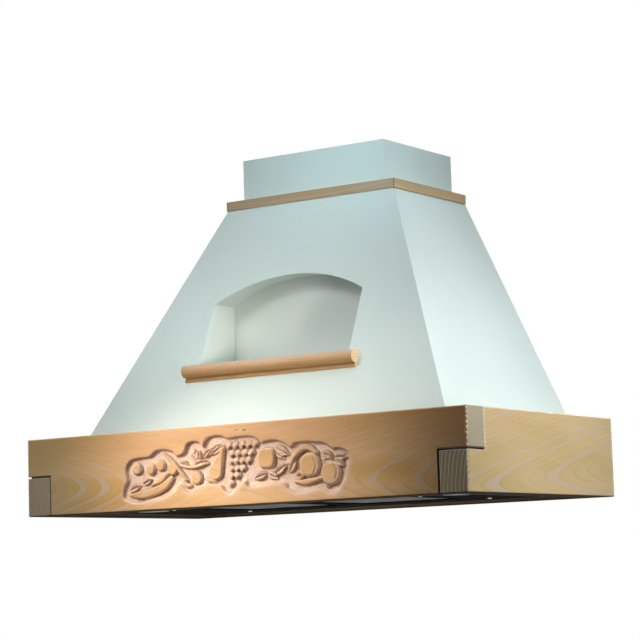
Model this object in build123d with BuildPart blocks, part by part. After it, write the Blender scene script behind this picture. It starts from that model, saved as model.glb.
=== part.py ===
from build123d import *
import os
from math import atan, cos

# Wooden range hood cover: a limed timber frame, a painted sloping body with an arched niche,
# a chimney stub, and the extractor unit that it hides.
# Millimetres. X runs to the right, Y towards the wall, Z up. The origin is on the wall plane,
# at the middle of the lower edge, so the front of the hood is at y = -DEPTH.

# ---- driving dimensions ------------------------------------------------------------------
WIDTH, DEPTH, HEIGHT = 900.0, 490.0, 632.5

# timber frame
BEAM_HEIGHT, BEAM_THICK = 135.0, 52.0
TONGUE_TOP = 66.8            # top of the side beams' tongues, which show on the front
LAP_GAP = 3.0                # shadow gap above each tongue
LAP_SEAT = 6.0               # depth of that gap; behind it the front beam rests on the tongue
NOTCH_GAP_RIGHT = 4.0        # open joint beside the right tongue
NOTCH_GAP_LEFT = 0.6         # the left one is nearly closed
CORNER_RADIUS, ARRIS_RADIUS = 6.0, 2.5
REAR_RAIL_THICK = 20.0
DOWEL_RADIUS, DOWEL_BOTTOM, DOWEL_TOP = 6.0, 20.0, 115.0
DOWEL_INSETS = (14.0, 38.0)  # from the front face
WALL_SCREW_RADIUS, WALL_SCREW_HEIGHT, WALL_SCREW_SPACING = 3.5, 100.0, 700.0

# deck that carries the body, inside the frame
DECK_BOTTOM, DECK_TOP = 112.0, 128.0
DECK_FRONT_EDGE, DECK_SIDE_EDGE = 118.0, 120.0   # from the frame's outer faces to the inner edges
DECK_PLAY = 0.4
LEDGER = 25.0

# painted body
BODY_TOP = 541.5
BODY_BASE_HALF, BODY_TOP_HALF = 369.4, 177.0     # half widths at the beams' top and at BODY_TOP
BODY_BASE_FRONT, BODY_TOP_FRONT = 416.5, 241.8   # front face's distance from the wall there
BOARD = 10.0
CORNER_BATTEN = 22.0
SIDE_RUN = (BODY_BASE_HALF - BODY_TOP_HALF) / (BODY_TOP - BEAM_HEIGHT)
FRONT_RUN = (BODY_BASE_FRONT - BODY_TOP_FRONT) / (BODY_TOP - BEAM_HEIGHT)
SIDE_WALL = BOARD / cos(atan(SIDE_RUN))          # a sloping board's horizontal thickness
FRONT_WALL = BOARD / cos(atan(FRONT_RUN))

# arched niche in the body's front
NICHE_HALF, NICHE_SPRING, NICHE_APEX = 156.0, 363.0, 403.5
NICHE_FLOOR_TOP, NICHE_BACK = 246.0, 260.0       # the back is this far from the wall
NICHE_FLOOR_THICK, CHEEK_THICK, NICHE_BACK_THICK = 10.0, 8.0, 10.0
ARCH_RISE = NICHE_APEX - NICHE_SPRING
ARCH_RADIUS = (NICHE_HALF**2 + ARCH_RISE**2) / (2 * ARCH_RISE)
ARCH_CENTRE = NICHE_APEX - ARCH_RADIUS

# moulded shelf rail below the niche: its section's points are (distance from the wall, height)
RAIL_HALF, RAIL_TOP, RAIL_BOTTOM = 177.0, 251.0, 222.0
NOSE_TOP, NOSE_FRONT, NOSE_FOOT = (387.0, RAIL_TOP), (393.0, 240.0), (382.0, 230.0)
QUIRK_TOP, QUIRK_FOOT = (379.5, 230.0), (379.5, 228.0)
BEAD_FRONT = (382.2, 225.0)

# neck trim and chimney
TRIM_HALF, TRIM_FRONT, TRIM_HEIGHT = 179.0, 243.2, 16.5
CHIMNEY_HALF, CHIMNEY_FRONT = 150.5, 227.8
NECK_PLATE_THICK, NECK_PLAY = 12.0, 0.4
DUCT_CENTRE = 126.0          # the duct's axis is this far from the wall
DUCT_CUTOUT = 170.0          # square hole for the duct

# hanging rail and its steel plates
HANG_BOTTOM, HANG_TOP, HANG_THICK = 455.0, 515.0, 22.0
PLATE_THICK, PLATE_WIDTH, PLATE_HEIGHT = 3.0, 44.0, 56.0
PLATE_SPACING, WALL_BOLT_RADIUS, BOLT_ACCESS_RADIUS = 240.0, 4.5, 12.0
WOOD_SCREW_RADIUS, WOOD_SCREW_HEAD, WOOD_SCREW_LENGTH = 2.0, 4.0, 20.0
PLATE_SCREW_OFFSET = 20.0

# extractor: steel pan that closes the underside
SHEET = 1.5
PAN_BOTTOM, PAN_FLANGE, PAN_PLAY = 6.0, 22.0, 2.0
PAN_TOP = PAN_BOTTOM + SHEET
PAN_HALF = WIDTH / 2 - BEAM_THICK - PAN_PLAY
PAN_FRONT = DEPTH - BEAM_THICK - PAN_PLAY
PAN_BACK = REAR_RAIL_THICK + PAN_PLAY

# grease filters
APERTURE_WIDTH, APERTURE_DEPTH = 226.0, 266.0
FILTER_OFFSET, FILTER_FRONT = 122.0, 378.0       # aperture's middle, and its front edge
FILTER_BACK = FILTER_FRONT - APERTURE_DEPTH
FILTER_PLAY = 1.5
FILTER_BOTTOM, FILTER_THICK = 5.5, 9.0
FILTER_TOP = FILTER_BOTTOM + FILTER_THICK
FILTER_RIM, FILTER_FRONT_RIM = 10.0, 30.0
MESH_MARGIN = 1.0
TAB_BOTTOM, TAB_THICK, TAB_REACH, TAB_WIDTH = 7.9, 1.6, 8.0, 24.0
LATCH_WIDTH, LATCH_DEPTH, LATCH_TRAVEL, LATCH_PLAY = 40.0, 9.0, 6.5, 0.4
LATCH_INSET, POCKET_ROOF = 4.5, 3.0
TONGUE_WIDTH, TONGUE_BOTTOM, TONGUE_THICK, TONGUE_REACH = 29.0, 8.1, 2.0, 5.0

# lamps
LAMP_X, LAMP_Y, LAMP_RADIUS, LAMP_DEPTH, LAMP_PLAY = 320.0, 300.0, 30.0, 38.0, 0.2

# control box and its push buttons
BUTTON_NAMES = ("light", "off", "speed_1", "speed_2", "speed_3")
BUTTON_PITCH, BUTTON_RADIUS, BUTTON_PLAY = 22.0, 5.3, 0.2
BUTTON_BOTTOM, BUTTON_LENGTH, BUTTON_WELL = 2.0, 12.0, 14.0
CONTROL_HALF, CONTROL_FRONT, CONTROL_BACK = 62.0, 428.0, 407.0
CONTROL_BOTTOM, CONTROL_TOP, CONTROL_PLAY, CONTROL_RIM = 4.0, 32.0, 0.3, 2.5

# plenum case over the filters
CASE_HALF, CASE_FRONT, CASE_BACK, CASE_TOP, CASE_FLANGE = 250.0, 392.0, 28.0, 72.0, 12.0
INLET_RADIUS = 70.0

# fan
DRUM_RADIUS, DRUM_TOP, CONE_TOP = 92.0, 190.0, 240.0
DRUM_FLANGE = 98.0
COLLAR_RADIUS, COLLAR_TOP = 74.5, 330.0
LIP_PLAY, LIP_HEIGHT = 0.1, 16.0
MOTOR_RADIUS, MOTOR_BOTTOM, MOTOR_TOP = 38.0, 112.0, 172.0
SHAFT_RADIUS, SHAFT_PLAY, SHAFT_BOTTOM = 4.0, 0.05, 92.0
BRACKET_BOTTOM, BRACKET_THICK, BRACKET_ARMS, ARM_WIDTH = 150.0, 3.0, 3, 16.0
WHEEL_RADIUS, WHEEL_EYE, WHEEL_BOTTOM, WHEEL_TOP = 84.0, 70.5, 78.0, 106.0
BLADES, BLADE_THICK, BLADE_TILT, WHEEL_PLATE = 24, 1.2, 35.0, 2.0
HUB_RADIUS, HUB_BOTTOM = 12.0, 92.0

# non-return damper in the collar
SPINDLE_RADIUS, SPINDLE_LENGTH, SPINDLE_HEIGHT = 2.5, 148.4, 290.0
FLAP_RADIUS, FLAP_THICK, FLAP_GAP = 70.5, 1.2, 5.0
STOP_RIM, STOP_GAP = 1.5, 0.3                    # ring below the flaps that they rest on
KNUCKLE_RADIUS, KNUCKLE_LENGTH, KNUCKLE_PLAY = 4.5, 10.0, 0.08
KNUCKLES = {"left": (-40.0, 16.0), "right": (-16.0, 40.0)}   # places along the spindle

# steel screws of the pan and the case
PAN_SCREW_RADIUS, PAN_SCREW_HEAD, PAN_SCREW_HEAD_HEIGHT, PAN_SCREW_LENGTH = 2.0, 4.0, 1.8, 9.0
BEAM_SCREW_SPOTS_Y, BEAM_SCREW_X = (-350.0, -90.0), 300.0
CASE_SCREW_SPOTS_Y, CASE_SCREW_X = (-320.0, -90.0), 180.0

TERMINAL_BOX = (-235.0, -165.0, -100.0, -50.0, 34.0)         # x and y extents, and height
GLAND_RADIUS, GLAND_LENGTH, GLAND_BORE = 8.0, 14.0, 4.0

os.makedirs("parts", exist_ok=True)


# ---- helpers -----------------------------------------------------------------------------
UPWARD = (Align.CENTER, Align.CENTER, Align.MIN)             # stands on the local plane
DOWNWARD = (Align.CENTER, Align.CENTER, Align.MAX)


def keep(builder, name):
    """Labels a finished piece and writes its file."""
    builder.part.label = name
    export_step(builder.part, f"parts/{name}.step")


def block(x, y, z, mode=Mode.ADD):
    """A box in the piece being built, given its extents along X, Y and Z."""
    with Locations(((x[0] + x[1]) / 2, (y[0] + y[1]) / 2, (z[0] + z[1]) / 2)):
        Box(x[1] - x[0], y[1] - y[0], z[1] - z[0], mode=mode)


def body_half(z):
    """Outer half width of the sloping body at height z."""
    return BODY_BASE_HALF - SIDE_RUN * (z - BEAM_HEIGHT)


def body_front(z):
    """Distance from the wall to the body's front face at height z."""
    return BODY_BASE_FRONT - FRONT_RUN * (z - BEAM_HEIGHT)


def wall_outline(side, half, front, side_wall, front_wall):
    """Plan of one board of a three-sided wall that is open at the back, mitred at its front corners."""
    if side == "front":
        inner = half - side_wall
        back = -front + front_wall
        return [(-half, -front), (half, -front), (inner, back), (-inner, back)]
    corner, inner = (half, -front), (half - side_wall, -front + front_wall)
    outline = [corner, (half, 0), (half - side_wall, 0), inner]
    return outline if side == "right" else [(-x, y) for x, y in reversed(outline)]


def wall_board(side, z, half, front, side_wall, front_wall):
    """A board between two heights; half and front are pairs, for its foot and its top."""
    with BuildPart() as board:
        for i in (0, 1):
            with BuildSketch(Plane.XY.offset(z[i])):
                with BuildLine():
                    Polyline(*wall_outline(side, half[i], front[i], side_wall, front_wall), close=True)
                make_face()
        loft(ruled=True)
    return board


def screw_body(length, mode):
    """A countersunk wood screw with its head flush in the local plane and its point along local Z."""
    head_height = WOOD_SCREW_HEAD - WOOD_SCREW_RADIUS
    Cone(WOOD_SCREW_HEAD, WOOD_SCREW_RADIUS, head_height, align=UPWARD, mode=mode)
    Cylinder(WOOD_SCREW_RADIUS, length, align=UPWARD, mode=mode)


def mirrored(piece):
    """The same piece on the hood's other side."""
    with BuildPart() as other:
        mirror(piece.part, about=Plane.YZ)
    return other


# ---- steel screws ------------------------------------------------------------------------
# each stands on a plane whose Z is the way its point goes: into the frame through the pan's
# flanges, and up through the pan's floor into the case's flange
screw_height = PAN_BOTTOM + PAN_FLANGE * 0.65
pan_screw_planes = []
for sign in (-1, 1):
    for y in BEAM_SCREW_SPOTS_Y:
        pan_screw_planes.append(Plane((sign * (PAN_HALF - SHEET), y, screw_height), z_dir=(sign, 0, 0)))
    x = sign * BEAM_SCREW_X
    pan_screw_planes.append(Plane((x, -PAN_FRONT + SHEET, screw_height), z_dir=(0, -1, 0)))
    pan_screw_planes.append(Plane((x, -PAN_BACK - SHEET, screw_height), z_dir=(0, 1, 0)))
    x = sign * (CASE_HALF + CASE_FLANGE / 2)
    for y in CASE_SCREW_SPOTS_Y:
        pan_screw_planes.append(Plane((x, y, PAN_BOTTOM), z_dir=(0, 0, 1)))
    y = -CASE_FRONT - CASE_FLANGE / 2
    pan_screw_planes.append(Plane((sign * CASE_SCREW_X, y, PAN_BOTTOM), z_dir=(0, 0, 1)))


def screw_shanks(mode):
    """The shanks of the pan's screws, added to a piece or cut out of it."""
    for plane in pan_screw_planes:
        with Locations(plane):
            Cylinder(PAN_SCREW_RADIUS, PAN_SCREW_LENGTH, align=UPWARD, mode=mode)


with BuildPart() as pan_screws:
    screw_shanks(Mode.ADD)
    for plane in pan_screw_planes:
        with Locations(plane):
            Cylinder(PAN_SCREW_HEAD, PAN_SCREW_HEAD_HEIGHT, align=DOWNWARD)
keep(pan_screws, "pan_screws")

# ---- timber frame ------------------------------------------------------------------------
half_width, notch = WIDTH / 2, WIDTH / 2 - BEAM_THICK
notch_top = TONGUE_TOP + LAP_GAP
dowel_spots = [(sx * (half_width - BEAM_THICK / 2), -DEPTH + inset)
               for sx in (-1, 1) for inset in DOWEL_INSETS]

with BuildPart() as front_beam:
    block((-half_width, half_width), (-DEPTH, -DEPTH + BEAM_THICK), (0, BEAM_HEIGHT))
    fillet(front_beam.edges().filter_by(Axis.Z).group_by(Axis.Y)[0], CORNER_RADIUS)
    fillet(front_beam.faces().sort_by(Axis.Y)[0].edges().filter_by(Axis.X), ARRIS_RADIUS)
    notch_y = (-DEPTH - 1, -DEPTH + BEAM_THICK + 1)
    block((notch - NOTCH_GAP_RIGHT, half_width + 1), notch_y, (-1, notch_top), Mode.SUBTRACT)
    block((-half_width - 1, -notch + NOTCH_GAP_LEFT), notch_y, (-1, notch_top), Mode.SUBTRACT)
    with Locations(*[(x, y, notch_top) for x, y in dowel_spots]):
        Cylinder(DOWEL_RADIUS, DOWEL_TOP - notch_top, align=UPWARD, mode=Mode.SUBTRACT)
    screw_shanks(Mode.SUBTRACT)
keep(front_beam, "front_beam")

with BuildPart() as right_beam:
    block((notch, half_width), (-DEPTH, 0), (0, BEAM_HEIGHT))
    fillet(right_beam.edges().filter_by(Axis.Z).group_by(Axis.Y)[0].sort_by(Axis.X)[-1], CORNER_RADIUS)
    fillet(right_beam.faces().sort_by(Axis.X)[-1].edges().filter_by(Axis.Y), ARRIS_RADIUS)
    block((notch - 1, half_width + 1), (-DEPTH - 1, -DEPTH + BEAM_THICK), (TONGUE_TOP, BEAM_HEIGHT + 1),
          Mode.SUBTRACT)
    block((notch + LAP_SEAT, half_width - LAP_SEAT), (-DEPTH + LAP_SEAT, -DEPTH + BEAM_THICK),
          (TONGUE_TOP, notch_top))
    with Locations(*[(x, y, DOWEL_BOTTOM) for x, y in dowel_spots if x > 0]):
        Cylinder(DOWEL_RADIUS, notch_top - DOWEL_BOTTOM, align=UPWARD, mode=Mode.SUBTRACT)
    screw_shanks(Mode.SUBTRACT)
keep(right_beam, "right_beam")

left_beam = mirrored(right_beam)
keep(left_beam, "left_beam")

with BuildPart() as rear_rail:
    block((-notch, notch), (-REAR_RAIL_THICK, 0), (0, DECK_TOP))
    with BuildSketch(Plane.XZ):
        with Locations(*[(sx * WALL_SCREW_SPACING / 2, WALL_SCREW_HEIGHT) for sx in (-1, 1)]):
            Circle(WALL_SCREW_RADIUS)
    extrude(amount=REAR_RAIL_THICK, mode=Mode.SUBTRACT)
    screw_shanks(Mode.SUBTRACT)
keep(rear_rail, "rear_rail")

with BuildPart() as lap_dowels:
    with Locations(*[(x, y, DOWEL_BOTTOM) for x, y in dowel_spots]):
        Cylinder(DOWEL_RADIUS, DOWEL_TOP - DOWEL_BOTTOM, align=UPWARD)
keep(lap_dowels, "lap_dowels")

# ---- deck and its ledgers ----------------------------------------------------------------
frame_back = -DEPTH + BEAM_THICK
ledger_z = (DECK_BOTTOM - LEDGER, DECK_BOTTOM)
deck_z = (DECK_BOTTOM, DECK_TOP)
deck_front_edge = -DEPTH + DECK_FRONT_EDGE
deck_side = (half_width - DECK_SIDE_EDGE, notch - DECK_PLAY)

with BuildPart() as ledger_front:
    block((-notch + LEDGER, notch - LEDGER), (frame_back, frame_back + LEDGER), ledger_z)
keep(ledger_front, "ledger_front")

with BuildPart() as ledger_right:
    block((notch - LEDGER, notch), (frame_back, -REAR_RAIL_THICK), ledger_z)
keep(ledger_right, "ledger_right")
ledger_left = mirrored(ledger_right)
keep(ledger_left, "ledger_left")

with BuildPart() as deck_front:
    block((-notch + DECK_PLAY, notch - DECK_PLAY), (frame_back + DECK_PLAY, deck_front_edge), deck_z)
keep(deck_front, "deck_front")

with BuildPart() as deck_right:
    block(deck_side, (deck_front_edge, -REAR_RAIL_THICK - DECK_PLAY), deck_z)
keep(deck_right, "deck_right")
deck_left = mirrored(deck_right)
keep(deck_left, "deck_left")

# ---- painted body ------------------------------------------------------------------------
body_z = (DECK_TOP, BODY_TOP)
body_halves = (body_half(DECK_TOP), BODY_TOP_HALF)
body_fronts = (body_front(DECK_TOP), BODY_TOP_FRONT)

with BuildPart() as niche_space:
    with BuildSketch(Plane.XZ):
        with BuildLine():
            Polyline((-NICHE_HALF, NICHE_SPRING), (-NICHE_HALF, NICHE_FLOOR_TOP),
                     (NICHE_HALF, NICHE_FLOOR_TOP), (NICHE_HALF, NICHE_SPRING))
            ThreePointArc((NICHE_HALF, NICHE_SPRING), (0, NICHE_APEX), (-NICHE_HALF, NICHE_SPRING))
        make_face()
    extrude(amount=DEPTH)

body_front_panel = wall_board("front", body_z, body_halves, body_fronts, SIDE_WALL, FRONT_WALL)
with body_front_panel:
    add(niche_space.part, mode=Mode.SUBTRACT)
keep(body_front_panel, "body_front_panel")
for side in ("left", "right"):
    panel = wall_board(side, body_z, body_halves, body_fronts, SIDE_WALL, FRONT_WALL)
    keep(panel, f"body_{side}_panel")

with BuildPart() as corner_batten_right:
    for z in (DECK_TOP, BODY_TOP - NECK_PLATE_THICK):
        with BuildSketch(Plane.XY.offset(z)):
            with Locations((body_half(z) - SIDE_WALL, -body_front(z) + FRONT_WALL)):
                Rectangle(CORNER_BATTEN, CORNER_BATTEN, align=(Align.MAX, Align.MIN))
    loft(ruled=True)
keep(corner_batten_right, "corner_batten_right")
corner_batten_left = mirrored(corner_batten_right)
keep(corner_batten_left, "corner_batten_left")

# ---- niche -------------------------------------------------------------------------------
# everything in the niche stops at the inner face of the sloping front board
with BuildPart() as behind_front:
    with BuildSketch(Plane.YZ):
        with BuildLine():
            Polyline((-body_front(0) + FRONT_WALL, 0), (-body_front(HEIGHT) + FRONT_WALL, HEIGHT),
                     (0, HEIGHT), (0, 0), close=True)
        make_face()
    extrude(amount=WIDTH, both=True)

niche_y = (-DEPTH, -NICHE_BACK)
niche_bottom = NICHE_FLOOR_TOP - NICHE_FLOOR_THICK
cheek_outer = NICHE_HALF + CHEEK_THICK

with BuildPart() as niche_floor:
    block((-NICHE_HALF, NICHE_HALF), niche_y, (niche_bottom, NICHE_FLOOR_TOP))
    add(behind_front.part, mode=Mode.INTERSECT)
keep(niche_floor, "niche_floor")

with BuildPart() as niche_right_cheek:
    block((NICHE_HALF, cheek_outer), niche_y, (niche_bottom, NICHE_APEX))
    with BuildSketch(Plane.XZ):
        with Locations((0, ARCH_CENTRE)):
            Circle(ARCH_RADIUS)
    extrude(amount=DEPTH, mode=Mode.INTERSECT)
    add(behind_front.part, mode=Mode.INTERSECT)
keep(niche_right_cheek, "niche_right_cheek")
niche_left_cheek = mirrored(niche_right_cheek)
keep(niche_left_cheek, "niche_left_cheek")

with BuildPart() as niche_vault:
    with BuildSketch(Plane.XZ.offset(NICHE_BACK)):
        with Locations((0, ARCH_CENTRE)):
            Circle(ARCH_RADIUS + CHEEK_THICK)
            Circle(ARCH_RADIUS, mode=Mode.SUBTRACT)
        with Locations((0, NICHE_APEX)):
            Rectangle(2 * cheek_outer, 2 * (ARCH_RISE + 2 * CHEEK_THICK), mode=Mode.INTERSECT)
    extrude(amount=DEPTH - NICHE_BACK)
    add(behind_front.part, mode=Mode.INTERSECT)
keep(niche_vault, "niche_vault")

with BuildPart() as niche_back:
    with BuildSketch(Plane.XZ.offset(NICHE_BACK - NICHE_BACK_THICK)):
        with Locations((0, niche_bottom)):
            Rectangle(2 * cheek_outer, HEIGHT, align=(Align.CENTER, Align.MIN))
        with Locations((0, ARCH_CENTRE)):
            Circle(ARCH_RADIUS + CHEEK_THICK, mode=Mode.INTERSECT)
    extrude(amount=NICHE_BACK_THICK)
keep(niche_back, "niche_back")

with BuildPart() as shelf_rail:
    with BuildSketch(Plane.YZ.offset(-RAIL_HALF)):
        back_top, back_foot, top, front, foot, quirk_top, quirk_foot, bead = [
            (-distance, z) for distance, z in (
                (body_front(RAIL_TOP), RAIL_TOP), (body_front(RAIL_BOTTOM), RAIL_BOTTOM),
                NOSE_TOP, NOSE_FRONT, NOSE_FOOT, QUIRK_TOP, QUIRK_FOOT, BEAD_FRONT)]
        with BuildLine():
            Line(back_top, top)
            ThreePointArc(top, front, foot)
            Polyline(foot, quirk_top, quirk_foot)
            ThreePointArc(quirk_foot, bead, back_foot)
            Line(back_foot, back_top)
        make_face()
    extrude(amount=2 * RAIL_HALF)
keep(shelf_rail, "shelf_rail")

# ---- neck and chimney --------------------------------------------------------------------
with BuildPart() as neck_plate:
    plate_half = BODY_TOP_HALF - SIDE_WALL - NECK_PLAY
    plate_front = -BODY_TOP_FRONT + FRONT_WALL + NECK_PLAY
    neck_z = (BODY_TOP - NECK_PLATE_THICK, BODY_TOP)
    cutout = DUCT_CUTOUT / 2
    block((-plate_half, plate_half), (plate_front, 0), neck_z)
    block((-cutout, cutout), (-DUCT_CENTRE - cutout, -DUCT_CENTRE + cutout), neck_z, Mode.SUBTRACT)
keep(neck_plate, "neck_plate")

trim_z, chimney_z = (BODY_TOP, BODY_TOP + TRIM_HEIGHT), (BODY_TOP, HEIGHT)
for side in ("front", "left", "right"):
    trim = wall_board(side, trim_z, (TRIM_HALF,) * 2, (TRIM_FRONT,) * 2,
                      TRIM_HALF - CHIMNEY_HALF, TRIM_FRONT - CHIMNEY_FRONT)
    keep(trim, f"neck_trim_{side}")
    chimney = wall_board(side, chimney_z, (CHIMNEY_HALF,) * 2, (CHIMNEY_FRONT,) * 2, BOARD, BOARD)
    keep(chimney, f"chimney_{side}")

# ---- hanging rail, its plates and screws -------------------------------------------------
hang_y = (-PLATE_THICK - HANG_THICK, -PLATE_THICK)
hang_middle = (HANG_BOTTOM + HANG_TOP) / 2
plate_spots = [(sx * PLATE_SPACING / 2, hang_middle) for sx in (-1, 1)]
screw_spots = [(x, z + sz * PLATE_SCREW_OFFSET) for x, z in plate_spots for sz in (-1, 1)]

with BuildPart() as hanging_rail:
    with BuildSketch(Plane.XZ.offset(PLATE_THICK)):
        with BuildLine():
            low, high = body_half(HANG_BOTTOM) - SIDE_WALL, body_half(HANG_TOP) - SIDE_WALL
            Polyline((-low, HANG_BOTTOM), (low, HANG_BOTTOM), (high, HANG_TOP), (-high, HANG_TOP),
                     close=True)
        make_face()
        with Locations(*plate_spots):
            Circle(BOLT_ACCESS_RADIUS, mode=Mode.SUBTRACT)
    extrude(amount=HANG_THICK)
    with BuildSketch(Plane.XZ):
        with Locations(*screw_spots):
            Circle(WOOD_SCREW_RADIUS)
    extrude(amount=WOOD_SCREW_LENGTH, mode=Mode.SUBTRACT)
keep(hanging_rail, "hanging_rail")

with BuildPart() as hanger_plates:
    for x, z in plate_spots:
        block((x - PLATE_WIDTH / 2, x + PLATE_WIDTH / 2), (-PLATE_THICK, 0),
              (z - PLATE_HEIGHT / 2, z + PLATE_HEIGHT / 2))
    fillet(hanger_plates.edges().filter_by(Axis.Y), CORNER_RADIUS)
    with BuildSketch(Plane.XZ):
        with Locations(*plate_spots):
            Circle(WALL_BOLT_RADIUS)
    extrude(amount=PLATE_THICK, mode=Mode.SUBTRACT)
    with Locations(Plane.XZ):
        with Locations(*[(x, z, 0) for x, z in screw_spots]):
            screw_body(WOOD_SCREW_LENGTH, Mode.SUBTRACT)
keep(hanger_plates, "hanger_plates")

with BuildPart() as hanger_screws:
    with Locations(Plane.XZ):
        with Locations(*[(x, z, 0) for x, z in screw_spots]):
            screw_body(WOOD_SCREW_LENGTH, Mode.ADD)
keep(hanger_screws, "hanger_screws")

# ---- steel pan ---------------------------------------------------------------------------
filter_middles = (-FILTER_OFFSET, FILTER_OFFSET)
aperture_half, aperture_y = APERTURE_WIDTH / 2, (-FILTER_FRONT, -FILTER_BACK)
pan_z = (PAN_BOTTOM, PAN_TOP)
lamp_spots = [(sx * LAMP_X, -LAMP_Y, PAN_BOTTOM) for sx in (-1, 1)]

with BuildPart() as insert_pan:
    block((-PAN_HALF, PAN_HALF), (-PAN_FRONT, -PAN_BACK), (PAN_BOTTOM, PAN_BOTTOM + PAN_FLANGE))
    block((-PAN_HALF + SHEET, PAN_HALF - SHEET), (-PAN_FRONT + SHEET, -PAN_BACK - SHEET),
          (PAN_TOP, PAN_BOTTOM + PAN_FLANGE), Mode.SUBTRACT)
    for x in filter_middles:
        block((x - aperture_half, x + aperture_half), aperture_y, pan_z, Mode.SUBTRACT)
    block((-CONTROL_HALF - CONTROL_PLAY, CONTROL_HALF + CONTROL_PLAY),
          (-CONTROL_FRONT - CONTROL_PLAY, -CONTROL_BACK + CONTROL_PLAY), pan_z, Mode.SUBTRACT)
    with Locations(*lamp_spots):
        Cylinder(LAMP_RADIUS, SHEET, align=UPWARD, mode=Mode.SUBTRACT)
    screw_shanks(Mode.SUBTRACT)
keep(insert_pan, "insert_pan")

# ---- grease filters and their latches ----------------------------------------------------
filter_half = aperture_half - FILTER_PLAY
filter_y = (-FILTER_FRONT + FILTER_PLAY, -FILTER_BACK - FILTER_PLAY)
filter_z = (FILTER_BOTTOM, FILTER_TOP)
mesh_y = (filter_y[0] + FILTER_FRONT_RIM, filter_y[1] - FILTER_RIM)
latch_y = (filter_y[0] + LATCH_INSET, filter_y[0] + LATCH_INSET + LATCH_DEPTH)
latch_z = (FILTER_BOTTOM + LATCH_PLAY, FILTER_TOP - POCKET_ROOF - LATCH_PLAY)

for side, middle in zip(("left", "right"), filter_middles):
    mesh_x = (middle - filter_half + FILTER_RIM, middle + filter_half - FILTER_RIM)
    with BuildPart() as filter_frame:
        block((middle - filter_half, middle + filter_half), filter_y, filter_z)
        block(mesh_x, mesh_y, filter_z, Mode.SUBTRACT)
        for tab in (middle - filter_half / 2, middle + filter_half / 2):
            block((tab - TAB_WIDTH / 2, tab + TAB_WIDTH / 2), (mesh_y[1], -FILTER_BACK + TAB_REACH),
                  (TAB_BOTTOM, TAB_BOTTOM + TAB_THICK))
        pocket = LATCH_WIDTH / 2 + LATCH_PLAY
        pocket_y = (latch_y[0] - LATCH_PLAY, latch_y[1] + LATCH_TRAVEL + LATCH_PLAY)
        block((middle - pocket, middle + pocket), pocket_y, (FILTER_BOTTOM, FILTER_TOP - POCKET_ROOF),
              Mode.SUBTRACT)
        slit = TONGUE_WIDTH / 2 + LATCH_PLAY
        block((middle - slit, middle + slit), (filter_y[0], latch_y[0]),
              (TONGUE_BOTTOM - LATCH_PLAY, TONGUE_BOTTOM + TONGUE_THICK + LATCH_PLAY), Mode.SUBTRACT)
    keep(filter_frame, f"filter_{side}_frame")

    with BuildPart() as filter_mesh:
        block(mesh_x, mesh_y, (FILTER_BOTTOM + MESH_MARGIN, FILTER_TOP - MESH_MARGIN))
    keep(filter_mesh, f"filter_{side}_mesh")

    with BuildPart() as latch:
        block((middle - LATCH_WIDTH / 2, middle + LATCH_WIDTH / 2), latch_y, latch_z)
        fillet(latch.edges().filter_by(Axis.Z), 2 * SHEET)
        block((middle - TONGUE_WIDTH / 2, middle + TONGUE_WIDTH / 2),
              (-FILTER_FRONT - TONGUE_REACH, latch_y[0] + 2 * SHEET),
              (TONGUE_BOTTOM, TONGUE_BOTTOM + TONGUE_THICK))
    keep(latch, f"filter_{side}_latch")

# ---- lamps -------------------------------------------------------------------------------
for side, spot in zip(("left", "right"), lamp_spots):
    with BuildPart() as lamp_housing:
        with Locations((spot[0], spot[1], PAN_TOP)):
            Cylinder(LAMP_RADIUS + 3 * SHEET, LAMP_DEPTH, align=UPWARD)
        fillet(lamp_housing.faces().sort_by(Axis.Z)[-1].edges(), 4 * SHEET)
        with Locations((spot[0], spot[1], PAN_TOP)):
            Cylinder(LAMP_RADIUS + 2 * SHEET, LAMP_DEPTH - 2 * SHEET, align=UPWARD, mode=Mode.SUBTRACT)
    keep(lamp_housing, f"lamp_housing_{side}")

    with BuildPart() as lamp_lens:
        with Locations((spot[0], spot[1], FILTER_BOTTOM)):
            Cylinder(LAMP_RADIUS - LAMP_PLAY, PAN_TOP - FILTER_BOTTOM, align=UPWARD)
        with Locations((spot[0], spot[1], PAN_TOP)):
            Cylinder(LAMP_RADIUS + SHEET, SHEET, align=UPWARD)
    keep(lamp_lens, f"lamp_lens_{side}")

# ---- controls ----------------------------------------------------------------------------
button_y = -(CONTROL_FRONT + CONTROL_BACK) / 2
first_button_x = -(len(BUTTON_NAMES) - 1) / 2 * BUTTON_PITCH
button_spots = [(first_button_x + i * BUTTON_PITCH, button_y) for i in range(len(BUTTON_NAMES))]
with BuildPart() as control_box:
    block((-CONTROL_HALF, CONTROL_HALF), (-CONTROL_FRONT, -CONTROL_BACK), (CONTROL_BOTTOM, CONTROL_TOP))
    block((-CONTROL_HALF - CONTROL_RIM, CONTROL_HALF + CONTROL_RIM),
          (-CONTROL_FRONT - CONTROL_RIM, -CONTROL_BACK + CONTROL_RIM), (PAN_TOP, PAN_TOP + SHEET))
    with Locations(*[(x, y, CONTROL_BOTTOM) for x, y in button_spots]):
        Cylinder(BUTTON_RADIUS + BUTTON_PLAY, BUTTON_WELL, align=UPWARD, mode=Mode.SUBTRACT)
keep(control_box, "control_box")

for name, (x, y) in zip(BUTTON_NAMES, button_spots):
    with BuildPart() as button:
        with Locations((x, y, BUTTON_BOTTOM)):
            Cylinder(BUTTON_RADIUS, BUTTON_LENGTH, align=UPWARD)
        chamfer(button.faces().sort_by(Axis.Z)[0].edges(), SHEET / 2)
    keep(button, f"button_{name}")

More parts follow.
